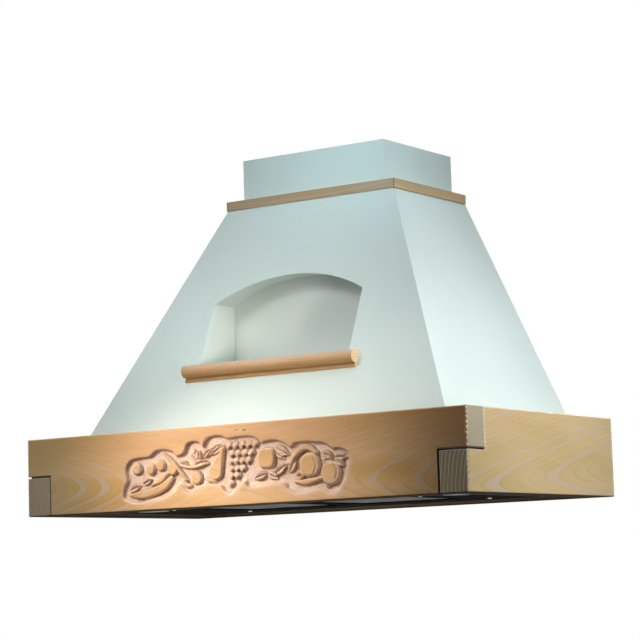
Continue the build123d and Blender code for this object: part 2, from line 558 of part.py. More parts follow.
# ---- plenum case -------------------------------------------------------------------------
with BuildPart() as plenum_case:
    block((-CASE_HALF, CASE_HALF), (-CASE_FRONT, -CASE_BACK), (PAN_TOP, CASE_TOP))
    block((-CASE_HALF - CASE_FLANGE, CASE_HALF + CASE_FLANGE), (-CASE_FRONT - CASE_FLANGE, -CASE_BACK),
          (PAN_TOP, PAN_TOP + SHEET))
    block((-CASE_HALF + SHEET, CASE_HALF - SHEET), (-CASE_FRONT + SHEET, -CASE_BACK - SHEET),
          (PAN_TOP, CASE_TOP - SHEET), Mode.SUBTRACT)
    with Locations((0, -DUCT_CENTRE, CASE_TOP - SHEET)):
        Cylinder(INLET_RADIUS, SHEET, align=UPWARD, mode=Mode.SUBTRACT)
    screw_shanks(Mode.SUBTRACT)
keep(plenum_case, "plenum_case")

with BuildPart() as terminal_box:
    x0, x1, y0, y1, height = TERMINAL_BOX
    block((x0, x1), (y0, y1), (CASE_TOP, CASE_TOP + height))
    fillet(terminal_box.edges().filter_by(Axis.Z), 2 * SHEET)
    chamfer(terminal_box.faces().sort_by(Axis.Z)[-1].edges(), SHEET)
    with Locations(Plane((x0, (y0 + y1) / 2, CASE_TOP + height / 2), z_dir=(-1, 0, 0))):
        Cylinder(GLAND_RADIUS, GLAND_LENGTH, align=UPWARD)
        Cylinder(GLAND_BORE, 2 * GLAND_LENGTH, mode=Mode.SUBTRACT)
keep(terminal_box, "terminal_box")

# ---- fan ---------------------------------------------------------------------------------
duct_axis = Axis((0, -DUCT_CENTRE, 0), (0, 0, 1))
duct_plane = Plane((0, -DUCT_CENTRE, 0), x_dir=(1, 0, 0), z_dir=(0, -1, 0))
collar_bore = COLLAR_RADIUS - SHEET
lip_outer = collar_bore - LIP_PLAY
lip_inner = lip_outer - SHEET

with BuildPart() as fan_casing:
    with BuildSketch(duct_plane):
        with BuildLine():
            Polyline((DRUM_RADIUS - SHEET, CASE_TOP), (DRUM_FLANGE, CASE_TOP),
                     (DRUM_FLANGE, CASE_TOP + SHEET), (DRUM_RADIUS, CASE_TOP + SHEET),
                     (DRUM_RADIUS, DRUM_TOP), (COLLAR_RADIUS, CONE_TOP), (lip_outer, CONE_TOP),
                     (lip_outer, CONE_TOP + LIP_HEIGHT), (lip_inner, CONE_TOP + LIP_HEIGHT),
                     (lip_inner, CONE_TOP), (DRUM_RADIUS - SHEET, DRUM_TOP), close=True)
        make_face()
    revolve(axis=duct_axis)
keep(fan_casing, "fan_casing")

spindle_plane = Plane((0, -DUCT_CENTRE, SPINDLE_HEIGHT), z_dir=(0, 1, 0))
with BuildPart() as outlet_collar:
    stop_top = SPINDLE_HEIGHT - FLAP_THICK / 2 - STOP_GAP
    stop_inner = FLAP_RADIUS - STOP_RIM
    with BuildSketch(duct_plane):
        with BuildLine():
            Polyline((collar_bore, CONE_TOP), (COLLAR_RADIUS, CONE_TOP), (COLLAR_RADIUS, COLLAR_TOP),
                     (collar_bore, COLLAR_TOP), (collar_bore, stop_top), (stop_inner, stop_top),
                     (stop_inner, stop_top - SHEET), (collar_bore, stop_top - SHEET), close=True)
        make_face()
    revolve(axis=duct_axis)
    with Locations(spindle_plane):
        Cylinder(SPINDLE_RADIUS, 3 * COLLAR_RADIUS, mode=Mode.SUBTRACT)
keep(outlet_collar, "outlet_collar")

with BuildPart() as damper_spindle:
    with Locations(spindle_plane):
        Cylinder(SPINDLE_RADIUS, SPINDLE_LENGTH)
keep(damper_spindle, "damper_spindle")

for side, sign in (("left", -1), ("right", 1)):
    with BuildPart() as damper_flap:
        with BuildSketch(Plane.XY.offset(SPINDLE_HEIGHT - FLAP_THICK / 2)):
            with Locations((0, -DUCT_CENTRE)):
                Circle(FLAP_RADIUS)
            with Locations((sign * (FLAP_GAP + FLAP_RADIUS), -DUCT_CENTRE)):
                Rectangle(2 * FLAP_RADIUS, 2 * FLAP_RADIUS, mode=Mode.INTERSECT)
        extrude(amount=FLAP_THICK)
        for along in KNUCKLES[side]:
            with Locations((sign * FLAP_GAP / 2, -DUCT_CENTRE + along, SPINDLE_HEIGHT)):
                Box(FLAP_GAP + SHEET, KNUCKLE_LENGTH, FLAP_THICK)
            with Locations(Plane((0, -DUCT_CENTRE + along, SPINDLE_HEIGHT), z_dir=(0, 1, 0))):
                Cylinder(KNUCKLE_RADIUS, KNUCKLE_LENGTH)
        with Locations(spindle_plane):
            Cylinder(SPINDLE_RADIUS + KNUCKLE_PLAY, 3 * COLLAR_RADIUS, mode=Mode.SUBTRACT)
    keep(damper_flap, f"damper_flap_{side}")

with BuildPart() as motor:
    with Locations((0, -DUCT_CENTRE, MOTOR_BOTTOM)):
        Cylinder(MOTOR_RADIUS, MOTOR_TOP - MOTOR_BOTTOM, align=UPWARD)
    chamfer(motor.edges().filter_by(GeomType.CIRCLE), 2 * SHEET)
    with Locations((0, -DUCT_CENTRE, SHAFT_BOTTOM)):
        Cylinder(SHAFT_RADIUS, MOTOR_BOTTOM - SHAFT_BOTTOM, align=UPWARD)
keep(motor, "motor")

with BuildPart() as motor_bracket:
    with BuildSketch(Plane.XY.offset(BRACKET_BOTTOM)):
        with Locations((0, -DUCT_CENTRE)):
            Circle(MOTOR_RADIUS + 4 * SHEET)
            with PolarLocations(DRUM_RADIUS / 2, BRACKET_ARMS, start_angle=90):
                Rectangle(DRUM_RADIUS, ARM_WIDTH)
            Circle(DRUM_RADIUS - SHEET, mode=Mode.INTERSECT)
            Circle(MOTOR_RADIUS, mode=Mode.SUBTRACT)
    extrude(amount=BRACKET_THICK)
keep(motor_bracket, "motor_bracket")

with BuildPart() as fan_wheel:
    with BuildSketch(duct_plane):
        with BuildLine():
            Polyline((SHAFT_RADIUS + SHAFT_PLAY, HUB_BOTTOM), (HUB_RADIUS, HUB_BOTTOM),
                     (HUB_RADIUS, WHEEL_TOP - WHEEL_PLATE), (WHEEL_RADIUS, WHEEL_TOP - WHEEL_PLATE),
                     (WHEEL_RADIUS, WHEEL_TOP), (SHAFT_RADIUS + SHAFT_PLAY, WHEEL_TOP), close=True)
        make_face()
        with Locations(((WHEEL_RADIUS + WHEEL_EYE) / 2, WHEEL_BOTTOM + WHEEL_PLATE / 2)):
            Rectangle(WHEEL_RADIUS - WHEEL_EYE, WHEEL_PLATE)
    revolve(axis=duct_axis)
    blade_height = WHEEL_TOP - WHEEL_BOTTOM - WHEEL_PLATE
    with Locations((0, -DUCT_CENTRE, WHEEL_BOTTOM + WHEEL_PLATE / 2)):
        with PolarLocations((WHEEL_RADIUS + WHEEL_EYE) / 2, BLADES):
            with Locations(Rotation(0, 0, BLADE_TILT)):
                Box(WHEEL_RADIUS - WHEEL_EYE, BLADE_THICK, blade_height, align=UPWARD)
keep(fan_wheel, "fan_wheel")
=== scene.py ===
import math

import bmesh
import bpy
import numpy as np
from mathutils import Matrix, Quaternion, Vector


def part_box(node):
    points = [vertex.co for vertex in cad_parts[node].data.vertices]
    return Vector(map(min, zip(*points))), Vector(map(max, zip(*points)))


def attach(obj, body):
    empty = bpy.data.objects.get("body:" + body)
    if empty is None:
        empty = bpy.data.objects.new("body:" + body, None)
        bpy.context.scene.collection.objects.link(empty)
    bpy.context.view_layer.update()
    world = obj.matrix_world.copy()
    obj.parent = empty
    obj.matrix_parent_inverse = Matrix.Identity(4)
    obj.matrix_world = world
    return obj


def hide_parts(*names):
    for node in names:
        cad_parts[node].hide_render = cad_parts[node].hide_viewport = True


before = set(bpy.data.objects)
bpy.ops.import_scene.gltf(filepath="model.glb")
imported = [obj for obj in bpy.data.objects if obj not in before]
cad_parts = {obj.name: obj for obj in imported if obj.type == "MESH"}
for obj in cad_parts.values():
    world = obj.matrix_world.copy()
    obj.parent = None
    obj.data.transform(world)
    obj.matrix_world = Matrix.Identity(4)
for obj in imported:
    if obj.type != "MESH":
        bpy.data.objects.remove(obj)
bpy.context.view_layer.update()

# Wooden range hood cover: limed timber, a carved front beam and pale lacquered boards.
# Metres, in the frame of the CAD model: X to the right, the front faces -Y, Z up, wall at y = 0.
MM = 0.001
OBJECTS = {node: bpy.data.objects[node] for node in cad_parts}


# ---- writing node trees ----
def operation(kind):
    """A recipe's method that adds one kind of math node."""
    return lambda recipe, *values: recipe.math(kind, *values)


class Recipe:
    """A node tree being written: every call adds one node and returns one of its outputs."""

    def __init__(self, tree):
        self.tree = tree

    def add(self, kind, *inputs, out=0, **named):
        """Inputs are fed in order, or by name: a name with a capital is a socket, another a setting."""
        made = self.tree.nodes.new(kind)
        for name, value in named.items():
            if not name[0].isupper():
                setattr(made, name, value)
        for socket, value in zip(made.inputs, inputs):
            self.feed(socket, value)
        for name, value in named.items():
            if name[0].isupper():
                self.feed(made.inputs[name.replace("_", " ")], value)
        return made.outputs[out]

    def feed(self, socket, value):
        if isinstance(value, bpy.types.NodeSocket):
            self.tree.links.new(value, socket)
        elif value is not None:
            socket.default_value = value

    def math(self, operation, *values):
        return self.add("ShaderNodeMath", *values, operation=operation)

    plus, minus, over, scaled = map(operation, ("ADD", "SUBTRACT", "DIVIDE", "MULTIPLY_ADD"))
    least, most, size = map(operation, ("MINIMUM", "MAXIMUM", "ABSOLUTE"))
    below, whole, fraction = map(operation, ("LESS_THAN", "FLOOR", "FRACT"))

    def times(self, first, *others):
        """The product of all its values."""
        for value in others:
            first = self.math("MULTIPLY", first, value)
        return first

    def hypot(self, first, second):
        return self.math("SQRT", self.plus(self.times(first, first), self.times(second, second)))

    def between(self, value, low, high, start=0.0, end=1.0):
        """Runs smoothly from start to end while value goes from low to high."""
        return self.add("ShaderNodeMapRange", value, low, high, start, end, interpolation_type="SMOOTHSTEP")

    def pulse(self, value, start, full, fade, end):
        """Rises from 0 to 1 while value goes from start to full, and falls again from fade to end."""
        return self.times(self.between(value, start, full), self.between(value, fade, end, 1.0, 0.0))

    def mix(self, factor, first, second, blend="MIX"):
        return self.add("ShaderNodeMix", factor, None, None, None, None, None, first, second,
                        out=2, data_type="RGBA", blend_type=blend)

    def geo(self, kind, *inputs, **named):
        return self.add("GeometryNode" + kind, *inputs, **named)

    def vectors(self, operation, *values):
        return self.add("ShaderNodeVectorMath", *values, operation=operation)

    def vector(self, *parts):
        return self.add("ShaderNodeCombineXYZ", *parts)

    def parts(self, vector):
        return self.add("ShaderNodeSeparateXYZ", vector).node.outputs

    def noise(self, place, scale, detail=2.0, roughness=0.5):
        return self.add("ShaderNodeTexNoise", Vector=place, Scale=scale, Detail=detail, Roughness=roughness)

    def streaks(self, place, scales, detail=2.0, roughness=0.5):
        """Noise with a scale of its own along each axis."""
        stretched = self.vectors("MULTIPLY", place, scales)
        return self.noise(stretched, 1.0, detail, roughness)

    def bump(self, height, distance):
        return self.add("ShaderNodeBump", Distance=distance, Height=height)

    def pick(self, number, levels):
        """The level for a whole number, starting again after the last one."""
        turn = self.fraction(self.over(self.plus(number, 0.5), len(levels)))
        made = self.add("ShaderNodeValToRGB", turn).node
        made.color_ramp.interpolation = "CONSTANT"
        for i, level in enumerate(levels):
            stops = made.color_ramp.elements
            stop = stops[0] if i == 0 else stops.new(i / len(levels))
            stop.color = (level, level, level, 1.0)
        made.color_ramp.elements.remove(made.color_ramp.elements[-1])
        return made.outputs[0]


def rgb(red, green, blue):
    """A linear colour from 0-255 display values."""
    parts = [value / 255 for value in (red, green, blue)]
    return (*[v / 12.92 if v <= 0.04045 else ((v + 0.055) / 1.055) ** 2.4 for v in parts], 1.0)


class Finish(Recipe):
    """The recipe of a new material, which starts with its object's coordinates."""

    def __init__(self, name):
        self.material = bpy.data.materials.new(name)
        self.material.use_nodes = True
        super().__init__(self.material.node_tree)
        self.place = self.add("ShaderNodeTexCoord").node.outputs["Object"]

    def done(self, **sockets):
        """The material, once the shader's sockets are set or linked."""
        for name, value in sockets.items():
            self.feed(self.tree.nodes["Principled BSDF"].inputs[name.replace("_", " ")], value)
        return self.material


def dress(material, *nodes):
    for node in nodes:
        for slot in OBJECTS[node].material_slots:
            slot.material = material


# ---- wood ----
# The lap joints at the front corners, in metres: the tops of the side beams' tongues and of the front
# beam's notches, the notches' inner sides (between the CAD model's 394.0 and 397.4 mm) and their backs.
TONGUE_TOP, NOTCH_TOP = 0.0668, 0.0698
LAP_SIDE, LAP_BACK = 0.3955, -0.438
# the shadow gap between them lies beyond this |x|, in front of this y and between these heights
GAP_SIDE, GAP_BACK, GAP_FLOOR, GAP_CEILING = 0.392, -0.432, 0.0665, 0.0700
SHADE_TOP = 0.0012      # how high the underside's painted shade reaches
SHADE_LINE_SPAN, SHADE_LINE_WIDTHS = 0.39, (0.0009, 0.0019)     # the painted shadow line beside the laps: its span, and its widths from the left lap to the right one
CUT_END_REACH = 0.0008  # a cut end's grain shows this far round its edge
BLUNT_TIP = 0.05        # how long the round tip is where the rings' lines turn on a board

TAN, OCHRE, LATEWOOD = rgb(240, 198, 144), rgb(218, 170, 98), rgb(150, 116, 70)
PIGMENT, CHALK, CUT_END = rgb(212, 194, 180), rgb(238, 224, 210), rgb(160, 150, 120)
# blush for the carving's chalk; dark umber for glaze and painted shade in its creases; a dark brown for the
# trims' and rail's edge lines and for painted shade in the lap joints; near black for painted shade on the
# underside
BLUSH, UMBER_GLAZE_AND_SHADE = rgb(238, 192, 166), rgb(88, 50, 26)
SEAM_AND_SHADE, UNDERSIDE_SHADE = rgb(58, 42, 28), rgb(46, 34, 24)


def board_place(r, node, axes):
    """A board's own coordinates: X along the grain from its middle, Y across it, Z into it from its face.

    Axes names the object's axes that run along, across and into the board.
    """
    low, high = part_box(node)
    parts = r.parts(r.place)
    along, across, into = ["XYZ".index(axis.strip("-")) for axis in axes]
    centre = (low[along] + high[along]) / 2
    face, sign = (high[into], -1.0) if axes[2].startswith("-") else (low[into], 1.0)
    return r.vector(r.minus(parts[along], centre), parts[across], r.times(r.minus(parts[into], face), sign))


def growth_rings(r, board, trunk):
    """Counts the trunk's growth rings at each place of a board that was sawn from it.

    The heart is the height of the trunk's axis on the board and leans along it, the pith is how far
    that axis lies in front of the face, and the rings open towards the ends as the trunk tapers.
    """
    along, across, into = r.parts(board)
    along = r.plus(along, trunk.get("start", 0.0))
    heart = r.scaled(along, trunk.get("lean", 0.0), trunk["heart"])
    pith = r.scaled(along, trunk.get("tilt", 0.0), trunk["pith"])
    radius = r.hypot(r.minus(across, heart), r.plus(into, pith))
    reach = r.math("SQRT", r.scaled(along, along, BLUNT_TIP ** 2))
    sway = r.minus(r.streaks(board, (7, 24, 24), 1.0), 0.5)
    waver = r.minus(r.streaks(board, (45, 170, 170)), 0.5)
    depth = r.minus(radius, r.times(reach, trunk["opening"]))
    depth = r.plus(depth, r.scaled(sway, trunk.get("sway", 0.011), trunk.get("shift", 0.0)))
    return r.over(r.scaled(waver, 0.0014, depth), trunk["ring"])


def edge_distance(r, low, high):
    """Distance along a box's surface to its nearest edge: the middle one of the distances to its faces."""
    middle = [(a + b) / 2 for a, b in zip(low, high)]
    half = [(b - a) / 2 for a, b in zip(low, high)]
    off_middle = r.vectors("ABSOLUTE", r.vectors("SUBTRACT", r.place, middle))
    x, y, z = r.parts(r.vectors("SUBTRACT", half, off_middle))
    return r.most(r.least(x, y), r.least(r.most(x, y), z))


def beside_lap(top, sides=None, back=None):
    """Distance on a beam from the piece that laps it, which is the way to the joint's lines.

    On the front beam that piece is beyond |x| = sides and below top; on a side beam it is in front of
    y = back and above top. With a high steepness only the distance from the upright line counts.
    """
    def distance(r, steepness=1.0):
        x, y, z = r.parts(r.place)
        if sides:
            off_side, off_top = r.minus(sides, r.size(x)), r.minus(z, top)
        else:
            off_side, off_top = r.minus(y, back), r.minus(top, z)
        off_side, off_top = r.most(off_side, 0.0), r.most(off_top, 0.0)
        return r.hypot(off_side, r.times(off_top, steepness))
    return distance


def painted_gap_shade(r):
    """1 on the sides of the shadow gap above each tongue, where its shade is painted dark, 0 on all outer
    faces.
    """
    (left, front, _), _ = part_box("front_beam")
    x, y, z = r.parts(r.place)
    x = r.size(x)
    inset = r.least(r.minus(y, front), r.minus(-left, x))
    by_corner = r.times(r.below(GAP_SIDE, x), r.below(y, GAP_BACK))
    level = r.times(r.below(GAP_FLOOR, z), r.below(z, GAP_CEILING))
    return r.times(by_corner, level, r.between(inset, 0.002, 0.004))


def painted_underside_shade(r, surface, roughness):
    """The frame's underside is painted nearly black as shade, and is dead matt; gives its colour and
    roughness.
    """
    below = r.below(r.parts(r.place)[2], SHADE_TOP)
    return r.mix(r.times(below, 0.9), surface, UNDERSIDE_SHADE), r.most(roughness, below)


def carved_colour(r, surface):
    """Blushed chalk where the carving holds pigment, and dark umber in its creases, partly glaze and partly
    painted shade.
    """
    held = r.add("ShaderNodeAttribute", attribute_name="pigment", out=2)
    crease = r.add("ShaderNodeAttribute", attribute_name="crease", out=2)
    mottle = r.noise(r.place, 90.0, 3.0, 0.6)
    chalk = r.mix(r.between(mottle, 0.3, 0.75, 0.25, 0.75), BLUSH, CHALK)
    surface = r.mix(r.times(held, r.between(mottle, 0.25, 0.75, 0.72, 0.92)), surface, chalk)
    return r.mix(r.times(crease, 0.6), surface, UMBER_GLAZE_AND_SHADE)


def limed_wood(node, axes, trunk, bands, light=TAN, deep=OCHRE, cut_end=CUT_END, arris=CHALK,
               arris_width=0.0009, teeth=0.0052, lines=0.3, lap=None, carved=False, shade=None):
    """Brushed softwood with a chalky pigment in the soft side of some rings and along cut edges.

    Bands holds how much pigment each ring took, in turn. Teeth is how far the pigment runs along the
    grain from a cut end, where it makes a ragged edge.
    """
    r = Finish("limed " + node.replace("_", " "))
    low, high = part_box(node)
    board = board_place(r, node, axes)
    along, across, _ = r.parts(board)
    rings = growth_rings(r, board, trunk)
    phase, half_ring = r.fraction(rings), r.fraction(r.times(rings, 2.0))
    fibre = r.streaks(board, (9, 340, 340), 3.0, 0.6)

    # a band of pigment at the start of each ring
    widened = r.over(phase, r.between(along, -0.4, 0.4, *trunk.get("widths", (1.0, 1.0))))
    share = trunk["band"] / trunk["ring"]
    band = r.times(r.pulse(widened, 0.0, 0.025, share * 0.5, share * 1.9),
                   r.pick(r.whole(rings), bands),
                   r.between(r.streaks(board, (9, 46, 46)), 0.3, 0.7, 0.55, 1.0),
                   r.between(across, *trunk.get("fade", (1.0, 2.0)), 1.0, 0.2))

    # fine dark and pale lines, two to a ring, on a ground that deepens in patches
    clear = r.between(r.streaks(board, (5, 30, 30), 1.0), 0.35, 0.65, 0.3, 1.0)
    dark_line = r.times(r.pulse(half_ring, 0.74, 0.95, 0.965, 1.0), clear)
    pale_line = r.times(r.pulse(half_ring, 0.0, 0.03, 0.06, 0.36), clear)
    patch = r.between(r.streaks(board, (3.5, 17, 17)), 0.36, 0.64)
    surface = r.mix(patch, light, deep)
    for share, tone in ((r.times(phase, 0.3), deep), (r.between(fibre, 0.35, 0.7, 0.0, 0.28), deep),
                        (r.times(dark_line, lines), LATEWOOD), (r.times(pale_line, 0.6 * lines), PIGMENT),
                        (r.times(band, 0.82), PIGMENT)):
        surface = r.mix(share, surface, tone)
    # painted light and shade along the board, where a board is given them
    if shade is not None:
        surface = shade(r, surface)

    # the grain on the cut ends
    length = "XYZ".index(axes[0])
    from_end = r.minus((high[length] - low[length]) / 2, r.size(along))
    sawn = r.below(from_end, CUT_END_REACH)
    end_rings = growth_rings(r, board, {**trunk, "pith": trunk.get("end_pith", trunk["pith"])})
    end_line = r.pulse(r.fraction(r.times(end_rings, 2.0)), 0.0, 0.03, 0.08, 0.4)
    end_grain = r.mix(r.between(fibre, 0.3, 0.7, 0.0, 0.35), cut_end, LATEWOOD)
    end_grain = r.mix(r.times(end_line, 0.5), end_grain, PIGMENT)
    surface = r.mix(r.times(sawn, 0.9), surface, end_grain)

    # pigment along the edges, ragged where they cross the grain
    ragged = r.noise(r.place, 420.0, 2.0, 0.6)
    edge, from_cut = edge_distance(r, low, high), from_end
    if lap is not None:
        edge = r.least(edge, lap(r))
    if lap is not None and not carved:
        from_cut = r.least(from_end, lap(r, 40.0))
    line = r.below(edge, r.times(ragged, arris_width * 2))
    tooth = r.times(r.between(half_ring, 0.45, 1.0), r.times(clear, teeth))
    toothed = r.times(r.below(from_cut, r.scaled(ragged, 0.0024, tooth)), r.minus(1.0, sawn))
    if carved:
        surface = carved_colour(r, surface)
    surface = r.mix(r.most(r.times(line, 0.55), r.times(toothed, 0.92)), surface, arris)

    # painted shade in the lap joint: the gap's inner sides, and a near-black shadow line beside it on the
    # front beam
    if lap is not None:
        surface = r.mix(painted_gap_shade(r), surface, SEAM_AND_SHADE)
    if carved:
        lap_shade_line = r.between(r.parts(r.place)[0], -SHADE_LINE_SPAN, SHADE_LINE_SPAN, *SHADE_LINE_WIDTHS)
        surface = r.mix(r.times(r.below(lap(r), lap_shade_line), 0.86), surface, SEAM_AND_SHADE)
    # painted shade: the underside nearly black and dead matt
    surface, roughness = painted_underside_shade(r, surface, r.between(band, 0.0, 1.0, 0.42, 0.6))
    height = r.minus(r.times(fibre, 0.5), r.times(dark_line, 0.5))
    return r.done(Base_Color=surface, Roughness=roughness, Specular_IOR_Level=0.35,
                  Normal=r.bump(height, 0.0003))


def plain_wood(node, axes, trunk):
    """Sanded, unfinished softwood for the pieces inside."""
    r = Finish("plain " + node.replace("_", " "))
    board = board_place(r, node, axes)
    fibre = r.streaks(board, (8, 300, 300), 3.0, 0.6)
    late = r.pulse(r.fraction(growth_rings(r, board, trunk)), 0.45, 0.9, 0.94, 1.0)
    ground = r.mix(r.between(fibre, 0.3, 0.75, 0.0, 0.5), rgb(226, 194, 150), rgb(208, 170, 122))
    surface = r.mix(r.times(late, 0.6), ground, rgb(182, 130, 80))
    # painted shade: the underside nearly black and dead matt
    surface, roughness = painted_underside_shade(r, surface, 0.62)
    height = r.minus(r.times(fibre, 0.5), r.times(late, 0.4))
    return r.done(Base_Color=surface, Roughness=roughness, Normal=r.bump(height, 0.0002))


# ---- lacquer, metal, plastic, glass ----
def lacquer(name, pale, deep):
    """Satin lacquer, sprayed on primed boards."""
    r = Finish(name)
    cloud = r.streaks(r.place, (3, 3, 5), 3.0)
    peel = r.noise(r.place, 420.0, 1.0, 0.4)
    surface = r.mix(r.between(cloud, 0.3, 0.7), pale, deep)
    return r.done(Base_Color=surface, Roughness=r.between(cloud, 0.2, 0.8, 0.40, 0.46),
                  Specular_IOR_Level=0.4, Normal=r.bump(peel, 0.00003))


def coated(name, base, roughness, grain_scale, depth, shine=0.5):
    """Coated steel or moulded plastic with a fine texture."""
    r = Finish(name)
    fine = r.noise(r.place, grain_scale, 3.0, 0.6)
    wear = r.between(r.noise(r.place, 14.0, 3.0), 0.35, 0.75)
    worn = [min(1.0, part * 1.5 + 0.002) for part in base[:3]] + [1.0]
    return r.done(Base_Color=r.mix(wear, base, worn), Specular_IOR_Level=shine,
                  Roughness=r.between(fine, 0.2, 0.8, roughness - 0.06, roughness + 0.08),
                  Normal=r.bump(fine, depth))


def galvanised():
    """Zinc-coated sheet with its spangle."""
    r = Finish("galvanised sheet")
    shade = r.add("ShaderNodeSeparateColor", r.add("ShaderNodeTexVoronoi", r.place, None, 170.0, out=1))
    cloud = r.noise(r.place, 9.0, 3.0)
    surface = r.mix(shade, rgb(182, 186, 188), rgb(206, 208, 208))
    surface = r.mix(r.between(cloud, 0.4, 0.8, 0.0, 0.35), surface, rgb(150, 152, 150))
    return r.done(Base_Color=surface, Metallic=1.0, Roughness=r.between(shade, 0.0, 1.0, 0.36, 0.46),
                  Normal=r.bump(r.noise(r.place, 60.0, 2.0), 0.0001))


def zinc():
    """Yellowish zinc plating of the screws and small plates."""
    r = Finish("zinc plate")
    cloud = r.noise(r.place, 150.0, 2.0)
    return r.done(Base_Color=r.mix(cloud, rgb(190, 186, 170), rgb(216, 212, 200)), Metallic=1.0,
                  Roughness=r.between(cloud, 0.2, 0.8, 0.28, 0.42), Normal=r.bump(cloud, 0.00004))


def filter_metal():
    """Anodised strands with a thin film of grease here and there."""
    r = Finish("filter strands")
    film = r.between(r.noise(r.place, 9.0, 2.0), 0.3, 0.75)
    return r.done(Base_Color=r.mix(film, rgb(148, 149, 148), rgb(134, 131, 124)), Metallic=0.85,
                  Roughness=r.between(film, 0.0, 1.0, 0.46, 0.54),
                  Normal=r.bump(r.noise(r.place, 700.0), 0.00003))


def frosted_glass():
    r = Finish("frosted lens")
    frost = r.noise(r.place, 1500.0, 2.0)
    return r.done(Base_Color=rgb(238, 240, 236), Roughness=r.between(frost, 0.2, 0.8, 0.3, 0.5),
                  Transmission_Weight=0.75, IOR=1.49, Normal=r.bump(frost, 0.00006))


# ---- meshes ----
def add_object(name, data, *materials):
    made = bpy.data.objects.new(name, data)
    bpy.context.collection.objects.link(made)
    for material in materials:
        data.materials.append(material)
    return made


def smooth(mesh, sharp):
    """Smooth shading that keeps the edges that turn by more than sharp degrees."""
    mesh.shade_smooth()
    mesh.set_sharp_from_angle(angle=math.radians(sharp))


def add_mesh(name, vertices, faces, material):
    mesh = bpy.data.meshes.new(name)
    mesh.from_pydata(vertices, [], faces)
    smooth(mesh, 35.0)
    return add_object(name, mesh, material)


def turned(name, profile, node, material, sides=48):
    """A solid of revolution about the upright axis of a node; its profile starts and ends on the axis,
    and runs from the bottom to the top."""
    low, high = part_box(node)
    middle_x, middle_y = (low[0] + high[0]) / 2, (low[1] + high[1]) / 2
    rings = np.array(profile[1:-1], float) * MM
    vertices = [(middle_x + radius * math.cos(a), middle_y + radius * math.sin(a), z)
                for radius, z in rings for a in np.linspace(0, 2 * math.pi, sides, endpoint=False)]
    bottom, top = len(vertices), len(vertices) + 1
    vertices += [(middle_x, middle_y, profile[0][1] * MM), (middle_x, middle_y, profile[-1][1] * MM)]
    faces = []
    for i in range(sides):
        j = (i + 1) % sides
        faces.append((bottom, j, i))
        for start in range(0, bottom - sides, sides):
            faces.append((start + i, start + j, start + sides + j, start + sides + i))
        faces.append((top, bottom - sides + i, bottom - sides + j))
    return add_mesh(name, vertices, faces, material)


def smooth_line(points, steps, closed=False):
    """A Catmull-Rom curve through points of any number of values."""
    points = np.array(points, float)
    if closed:
        points = np.vstack([points[-1:], points, points[:2]])
    else:
        points = np.vstack([2 * points[0] - points[1], points, 2 * points[-1] - points[-2]])
    t = np.linspace(0, 1, steps, endpoint=False)[:, None]
    spans = []
    for a, b, c, d in zip(points, points[1:], points[2:], points[3:]):
        spans.append(0.5 * (2 * b + (c - a) * t + (2 * a - 5 * b + 4 * c - d) * t**2
                            + (3 * b - a - 3 * c + d) * t**3))
    return np.vstack(spans + ([] if closed else [points[-2:-1]]))


# ---- carving ----
# Millimetres on the front beam's face: across from its middle, and up from its lower edge.
CARVING_DEPTH = 7.0
CARVED_X, CARVED_Z = (-250, 244), (2, 127)      # the part of the face that the carver worked
GROUND_OUTLINE = [
    (-222, 17), (-234, 25), (-231, 42), (-225, 52), (-228, 73), (-217, 86), (-198, 90), (-176, 91),
    (-161, 100), (-145, 101), (-127, 97), (-118, 89), (-103, 93), (-95, 107), (-81, 111), (-69, 108),
    (-62, 101), (-57, 111), (-45, 117), (-24, 117), (-10, 112), (14, 113), (40, 112), (51, 107), (58, 100),
    (68, 103), (88, 103), (105, 97), (115, 90), (125, 96), (148, 97), (167, 95), (184, 92), (197, 83),
    (211, 83), (225, 78), (230, 69), (228, 55), (223, 35), (214, 22), (203, 11), (189, 10), (170, 18),
    (142, 14), (124, 15), (108, 22), (100, 31), (77, 32), (51, 29), (31, 29), (22, 38), (11, 30), (-4, 19),
    (-19, 24), (-27, 34), (-39, 37), (-57, 38), (-75, 31), (-93, 26), (-103, 30), (-114, 39), (-123, 29),
    (-148, 18), (-191, 13)]
# middle, half width, half height, how square, and the width of the rounded flank
FRUITS = [
    (-204, 70, 10.5, 10, 2, 3.5), (-174, 68, 9.5, 9.5, 2, 3.5), (-153, 74, 9.5, 9.5, 2, 3.5),
    (-127, 66, 10, 10.5, 2, 3.5), (-77, 49, 11.5, 11.5, 2, 4), (67, 74, 17, 17, 3.2, 4.5),
    (152, 59, 20.5, 20.5, 2.2, 7), (193, 43, 19.5, 20, 2.3, 6)]
# the bunch of grapes: each row's height, first and last place, and how many
GRAPE_ROWS = [
    (99, -9, 44.5, 5), (85, -4, 36, 4), (73, -5.5, 30, 4), (60.5, -4.5, 18.5, 3), (49.5, -4.5, 7, 2),
    (36, -6.5, -6.5, 1)]
GRAPES = [(cx, cz) for cz, first, last, count in GRAPE_ROWS for cx in np.linspace(first, last, count)]
GRAPE, PIT = 7.2, 3.0           # radius of a grape, and of the pit between it and the next ones
PIT_PLACE = (3.9, -4.4)         # from the grape's middle
